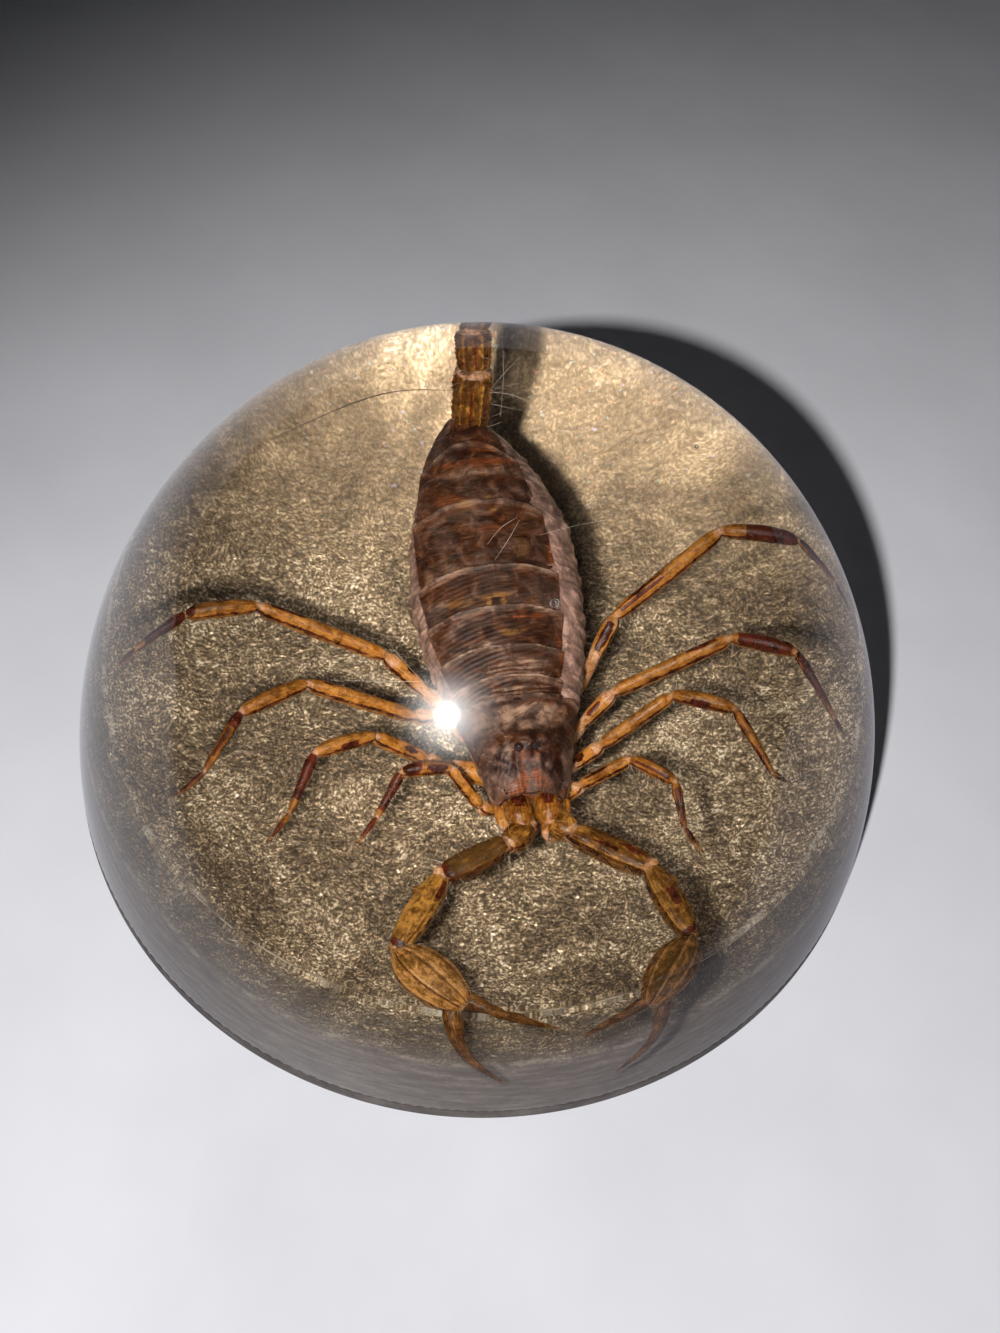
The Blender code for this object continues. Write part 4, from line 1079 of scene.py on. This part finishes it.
tailShape = {
    "joints": [(-3.0, 15.2, 13.2), (-3.2, 18.2, 17.9), (-3.9, 22.0, 21.4), (-4.0, 27.0, 22.3),
               (-3.2, 31.4, 19.2), (-2.6, 33.4, 12.9)],
    "across": (1.0, 0.0, 0.0),
    "halfWidths": [1.42, 1.4, 1.35, 1.25, 1.15],
    "knots": [(-0.06, 0.5, 0.5), (0.03, 0.8, 0.8), (0.2, 0.9, 0.88), (0.6, 0.96, 0.95), (0.88, 1.0, 0.98),
              (0.97, 0.86, 0.85), (1.02, 0.55, 0.55)],
    "ridges": [(62, 0.11, 0.1, 9), (118, 0.11, 0.1, 9), (18, 0.09, 0.1, 9), (162, 0.09, 0.1, 9),
               (-20, 0.07, 0.1, 8), (200, 0.07, 0.1, 8), (-62, 0.07, 0.1, 8), (242, 0.07, 0.1, 8)],
    # dark lines along the first segment and along the others
    "firstLines": [(0.05, 0.8, 88, 3.5), (0.3, 0.7, 40, 5)],
    "lines": [(0.05, 0.95, 86, 4), (0.1, 0.9, 40, 4)],
    "sting": [(-2.6, 33.3, 13.1), (-2.5, 33.3, 11.6), (-2.4, 32.8, 9.7), (-2.3, 31.7, 8.0),
              (-2.2, 30.0, 7.0), (-2.2, 28.6, 7.2)],
    "stingKnots": [(0.0, 0.5, 0.5), (0.08, 0.9, 0.9), (0.25, 1.18, 1.14), (0.42, 1.12, 1.08),
                   (0.58, 0.7, 0.7), (0.7, 0.38, 0.38), (0.85, 0.2, 0.2), (1.0, 0.03, 0.03)],
}


def tailPieces(shell):
    joints = [np.array(joint) for joint in tailShape["joints"]]
    for k, half in enumerate(tailShape["halfWidths"]):
        lines = tailShape["lines" if k else "firstLines"]
        grid, skin = limbSkin(joints[k], joints[k + 1], tailShape["knots"], half, tailShape["across"], 0.85,
                              tailShape["ridges"], lines, middleShade=0.15, columns=64, rows=52, chance=0.21 * k,
                              grooveShade=0.5, depth=0.72, sides=0.2)
        skins = [skin]
        plantHairs(grid, 60, 0.7, 3.6, 400 + k, lean=0.25, width=0.011)
        if k > 0:
            skins += jointSkins(joints[k], joints[k - 1], joints[k + 1], half * 0.55, 1)
        shellPiece(f"tail_segment_{k + 1}", skins, shell)
    path = [np.array(point) for point in tailShape["sting"]]
    grid, skin = limbSkin(path[0], path[-1], tailShape["stingKnots"], 1.0, tailShape["across"], 1.0,
                          [(90, 0.05, 0.1, 12), (-90, 0.06, 0.1, 12)], [(0.72, 1.0, 90, 180)], 0.0,
                          middle=path[1:-1], columns=48, rows=90, chance=0.9)
    plantHairs(grid[:50], 60, 0.5, 2.0, 410, lean=0.3)
    shellPiece("sting", [skin], shell)
    print("tail made")


# Each hair is a three-sided spike of three rings and a tip: at share u it stands at
# root + direction * length * u + droop * u squared, and its width falls ring by ring to nothing.
def hairPiece():
    places, directions, lengths, widths = (np.concatenate(part) for part in zip(*hairRoots))
    count = len(places)
    chance = np.random.default_rng(7)
    droop = chance.normal(0, 0.16, (count, 3)) * lengths[:, None]
    side = unit(np.cross(directions, chance.normal(0, 1, (count, 3))))
    other = np.cross(directions, side)
    rings = []
    for u, wide in ((0.0, 1.0), (0.45, 0.8), (0.85, 0.45)):
        centre = places + directions * (lengths * u)[:, None] + droop * u * u
        for k in range(3):
            a = 2 * np.pi * k / 3
            rings.append(centre + (side * math.cos(a) + other * math.sin(a)) * (widths * wide)[:, None])
    tip = places + directions * lengths[:, None] + droop
    points = np.stack([*rings, tip], 1).reshape(-1, 3)
    start = np.arange(count)[:, None] * 10
    faces = []
    for k in range(3):
        d = (k + 1) % 3
        for ring in (0, 3):
            faces += np.concatenate([start + ring + k, start + ring + d, start + ring + 3 + d,
                                     start + ring + 3 + k], 1).tolist()
        faces += np.concatenate([start + 6 + k, start + 6 + d, start + 9], 1).tolist()
    faces += np.concatenate([start + 2, start + 1, start], 1).tolist()
    mesh = bpy.data.meshes.new("fine_hairs")
    mesh.from_pydata(points * mm, [], faces)
    mesh.shade_smooth()
    pale = cloudedMaterial("paleHairs", 300.0, [(0.3, (0.32, 0.20, 0.11)), (0.7, (0.68, 0.55, 0.42))],
                           Roughness=0.35)
    placePiece("fine_hairs", mesh, pale, "scorpion_shell", "scorpion")
    print("hairs made:", count)


# Fibres that the resin caught, as points in mm, each run through smoothly as a thin round thread.
strayFibres = {
    "pale": [
        [(-1.7, 16.9, 17.5), (-0.8, 18.4, 17.6), (0.1, 19.9, 17.5)],
        [(-1.5, 22.0, 18.5), (-1.0, 17.6, 18.6), (-0.9, 14.0, 18.5)],
        [(-2.1, 16.6, 17.0), (-0.5, 16.6, 17.1), (1.1, 16.2, 17.0)],
        [(-0.9, 3.3, 18.2), (0.0, 4.8, 18.3), (1.1, 5.9, 18.2)],
        [(2.9, 4.6, 18.2), (5.3, 5.6, 18.3), (7.7, 6.5, 18.2)],
        [(-0.2, 2.2, 18.0), (0.6, 3.9, 18.1), (1.3, 5.8, 18.0)],
        [(-11.3, -9.0, 17.0), (-7.3, -8.7, 17.2), (-3.2, -8.3, 17.4)],
        [(-22.1, -12.5, 8.0), (-20.2, -14.6, 8.2), (-18.0, -16.5, 8.0)],
        [(-18.1, -11.2, 8.0), (-17.3, -10.4, 8.1), (-17.1, -9.3, 8.0)],
        [(-8.0, -3.4, 15.0), (-6.3, -5.6, 15.5), (-4.2, -8.1, 16.0)],
    ],
    "dark": [
        [(-17.4, 13.3, 12.0), (-11.6, 16.6, 12.3), (-8.1, 18.0, 12.3), (-4.3, 18.6, 12.0)],
    ],
}


def fibrePieces():
    for kind, light, deep, width in (("pale", (0.60, 0.52, 0.44), (0.35, 0.28, 0.22), 0.014),
                                     ("dark", (0.06, 0.035, 0.02), (0.02, 0.012, 0.008), 0.04)):
        fibre = cloudedMaterial(kind + "Fibre", 500.0, [(0.35, deep), (0.65, light)], Roughness=0.4)
        knots = [(0, width * 0.5, width * 0.5), (0.5, width, width), (1, width * 0.4, width * 0.4)]
        skins = [limbSkin(path[0], path[-1], knots, middle=path[1:-1], columns=6, rows=24)[1]
                 for path in strayFibres[kind]]
        makePiece(kind + "_fibres", skins, fibre, "scorpion_shell")
    print("fibres made")


cameraPlace = {
    "position": (0.0, -56.23, 100.20), "lens": 27.0,    # a lens of 27 mm on a 36 mm long side
    "pitch": 58.6, "yaw": 1.5, "roll": 7.33,            # degrees down, right, and of the frame's tilt
}


def makeCamera():
    pitch, yaw, roll = (math.radians(cameraPlace[key]) for key in ("pitch", "yaw", "roll"))
    forward = Vector((math.sin(yaw) * math.cos(pitch), math.cos(yaw) * math.cos(pitch), -math.sin(pitch)))
    level = forward.cross(Vector((0, 0, 1))).normalized()
    upright = level.cross(forward)
    right = level * math.cos(roll) + upright * math.sin(roll)
    up = upright * math.cos(roll) - level * math.sin(roll)
    data = bpy.data.cameras.new("camera")
    data.lens = cameraPlace["lens"]
    data.sensor_width = 36.0
    data.clip_start = 0.005
    camera = bpy.data.objects.new("camera", data)
    bpy.context.scene.collection.objects.link(camera)
    camera.matrix_world = Matrix.Translation(Vector(cameraPlace["position"]) * mm) @ Matrix(
        (right, up, -forward)).transposed().to_4x4()
    bpy.context.scene.camera = camera


lightSetup = {
    # the lamp over the floor: its place, the point it's aimed at, the half angle of its cone
    "floorLamp": (-71.0, -166.0, 180.0), "floorAim": (0.0, -91.0, 0.0), "floorCone": 46.0,
    "floorPower": 2.9, "floorSource": 12.0,
    # the glow on the dome: where it mirrors, the way to its lamp and its distance
    "mirrorPoint": (-2.50, -21.25, 35.27), "toward": (-0.157, -0.5729, 0.8045), "distance": 73.8,
    "glowWidth": 46.0, "glowPower": 0.5,
    "core": 0.11, "coreStrength": 5.0, "halo": 0.5, "haloStrength": 0.2,
    # inside the resin the lamp's light falls in pools on the gold layer. The curved top bends it to
    # lean by about 0.10 along x and 0.62 along y, less so at the far side and more at the near one:
    # name, x, y, radius, slope along x and along y, power, width of the source
    "pools": [("middle", -1.0, -4.0, 26.0, 0.10, 0.62, 10.2, 26.0),
              ("wide", 0.0, -4.0, 44.0, 0.08, 0.60, 2.4, 26.0),
              ("far", 3.0, 36.0, 27.0, 0.21, 0.52, 10.0, 22.0),
              ("left", -16.0, 8.0, 20.0, 0.14, 0.64, 2.6, 26.0),
              ("right", 21.0, 8.0, 22.0, 0.06, 0.59, 3.6, 26.0),
              ("near", 1.0, -40.0, 27.0, 0.20, 0.72, 2.6, 20.0),
              ("left_rim", -42.0, -20.0, 21.0, 0.5, 0.66, 1.5, 26.0),
              ("soft", 0.0, 0.0, 80.0, 0.12, 0.45, 0.5, 300.0),
              ("fill", 5.0, 2.0, 29.0, -0.5, 0.15, 3.2, 160.0),          # only on the animal, from its left
              ("far_layer", 3.0, 36.0, 27.0, 0.21, 0.52, 20.0, 22.0)],   # only on the gold layer
    "poolReach": 420.0,
    "panelPlace": (250.0, 350.0, 700.0), "panelWidth": 500.0, "panelPower": 0.035, "worldStrength": 0.018,
}


def placeLamp(name, data, position, target, receivers=None, blockers=None):
    lamp = bpy.data.objects.new(name, data)
    bpy.context.scene.collection.objects.link(lamp)
    lamp.location = position
    lamp.rotation_euler = (target - position).to_track_quat("-Z", "Y").to_euler()
    lamp.visible_camera = False
    for kind, things in (("receiver", receivers), ("blocker", blockers)):
        if things is not None:
            group = bpy.data.collections.new(f"{name}_{kind}s")
            for thing in things:
                group.objects.link(thing)
            setattr(lamp.light_linking, f"{kind}_collection", group)
    return lamp


def discLight(name, width, power):
    data = bpy.data.lights.new(name, "AREA")
    data.shape = "DISK"
    data.size = width * mm
    data.energy = power
    return data


def spotLight(name, halfAngle, width, power):
    data = bpy.data.lights.new(name, "SPOT")
    data.energy = power
    data.spot_size = 2 * halfAngle
    data.spot_blend = 1.0
    data.shadow_soft_size = width / 2 * mm
    return data


# The glow's strength over the lamp's face: a bright core and a fainter halo, both strength times
# exp(-(r / width) squared), with r from 0 at the middle to 1 at the rim.
def shapeGlow(lamp):
    board = NodeBoard(lamp)
    offset = board.add("ShaderNodeVectorMath", operation="DISTANCE")
    board.feed(offset.inputs[0], board.add("ShaderNodeNewGeometry").outputs["Parametric"])
    offset.inputs[1].default_value = (0.5, 0.5, 0.0)
    r = board.times(offset.outputs["Value"], 2.0)
    square = board.times(r, r)
    core, halo = (board.math("EXPONENT", board.times(square, -1.0 / lightSetup[part] ** 2))
                  for part in ("core", "halo"))
    halo = board.times(halo, lightSetup["haloStrength"])
    strength = board.math("MULTIPLY_ADD", core, lightSetup["coreStrength"], halo)
    board.feed(board.nodes["Emission"].inputs["Strength"], strength)


def makeLights(dome, floors):
    pieces = [o for o in bpy.context.scene.objects if o.type == "MESH" and not o.hide_render]
    inside = [o for o in pieces if o != dome and o not in floors]
    lamp = spotLight("floor_lamp", math.radians(lightSetup["floorCone"]), lightSetup["floorSource"],
                     lightSetup["floorPower"])
    placeLamp("floor_lamp", lamp, Vector(lightSetup["floorLamp"]) * mm, Vector(lightSetup["floorAim"]) * mm,
              floors)
    lamp = discLight("glow_lamp", lightSetup["glowWidth"], lightSetup["glowPower"])
    shapeGlow(lamp)
    mirror = Vector(lightSetup["mirrorPoint"]) * mm
    away = Vector(lightSetup["toward"]).normalized() * lightSetup["distance"] * mm
    placeLamp("glow_lamp", lamp, mirror + away, mirror, [dome]).visible_transmission = False
    only = {"fill": [o for o in inside if o.name != "glitter_layer"],
            "far_layer": [o for o in inside if o.name == "glitter_layer"]}
    for name, x, y, radius, slopeX, slopeY, power, width in lightSetup["pools"]:
        target = Vector((x, y, backingShape["top"])) * mm
        away = Vector((-slopeX, -slopeY, 1.0)).normalized() * lightSetup["poolReach"] * mm
        lamp = spotLight("pool_" + name, math.atan(radius / lightSetup["poolReach"]), width, power)
        lamp.cycles.use_multiple_importance_sampling = False
        placeLamp("pool_" + name, lamp, target + away, target, only.get(name, inside), inside + floors)
    lamp = discLight("soft_panel", lightSetup["panelWidth"], lightSetup["panelPower"])
    panel = placeLamp("soft_panel", lamp, Vector(lightSetup["panelPlace"]) * mm, Vector((0, 0, 0)))
    panel.visible_glossy = False


def makeRoom():
    world = bpy.data.worlds.new("room")
    world.use_nodes = True
    back = world.node_tree.nodes["Background"]
    back.inputs["Color"].default_value = (0.80, 0.88, 1.0, 1.0)
    back.inputs["Strength"].default_value = lightSetup["worldStrength"]
    bpy.context.scene.world = world
    bpy.context.scene.view_settings.view_transform = "Standard"


floorShape = {"reach": 1200.0, "glossNearEdge": -67.0, "glossLevel": 0.02}


def levelSheet(name, nearEdge, level, material):
    reach = floorShape["reach"]
    corners = [(-reach, nearEdge), (reach, nearEdge), (reach, reach), (-reach, reach)]
    mesh = bpy.data.meshes.new(name)
    mesh.from_pydata([(x * mm, y * mm, level * mm) for x, y in corners], [], [(0, 1, 2, 3)])
    mesh.materials.append(material)
    sheet = bpy.data.objects.new(name, mesh)
    bpy.context.scene.collection.objects.link(sheet)
    return sheet


# The floor, and a sheet a hair above it that only the dome's gloss sees in its place. Its glow is
# a painted reflection of the lit floor: brighter to the left, painted darker to the right and toward
# the far side, and dark at the near edge, where a mirrored floor would veil what is inside.
def makeFloors():
    pale = cloudedMaterial("paleFloor", 40.0, [(0.3, (0.66, 0.66, 0.69)), (0.7, (0.72, 0.72, 0.75))], 4.0,
                           Roughness=0.85, Diffuse_Roughness=1.0)
    floor = levelSheet("floor", -floorShape["reach"], 0.0, pale)
    floor.visible_glossy = False
    board = NodeBoard(bpy.data.materials.new("mirroredFloor"))
    split = board.add("ShaderNodeSeparateXYZ", Vector=board.place())
    # painted reflection: brighter to the left, darker to the right as painted shade of the dome's shadow
    glow = board.tones(split.outputs["X"], -0.055, 0.012, (0.62, 0.62, 0.67), (0.34, 0.335, 0.375))
    glow = board.tones(split.outputs["Y"], floorShape["glossNearEdge"] * mm, -0.045, (0.0, 0.0, 0.0), glow)
    # painted shade: dark toward the far side
    glow = board.mix(board.between(split.outputs["Y"], 0.0, 0.12, 0.0, 0.7), glow, (0.03, 0.03, 0.035))
    board.set(Base_Color=(0.0, 0.0, 0.0, 1.0), Emission_Color=glow, Emission_Strength=1.0)
    board.owner.cycles.emission_sampling = "NONE"
    sheet = levelSheet("gloss_sheet", floorShape["glossNearEdge"], floorShape["glossLevel"], board.owner)
    for kind in ("camera", "diffuse", "transmission", "shadow"):
        setattr(sheet, "visible_" + kind, False)
    return [floor, sheet]


makeCamera()
dome = clearDome()
print("clear dome made")
glitterBacking()
print("gold flakes made")
trunkPieces()
amber, ochre, dusky = (amberMaterial(name, *colours) for name, colours in shellColours.items())
legPieces(amber)
palpPieces(dusky, ochre)
jawPieces(amber)
eyePieces()
tailPieces(dusky)
hairPiece()
fibrePieces()
makeLights(dome, makeFloors())
makeRoom()
print("camera, lights and floor made")
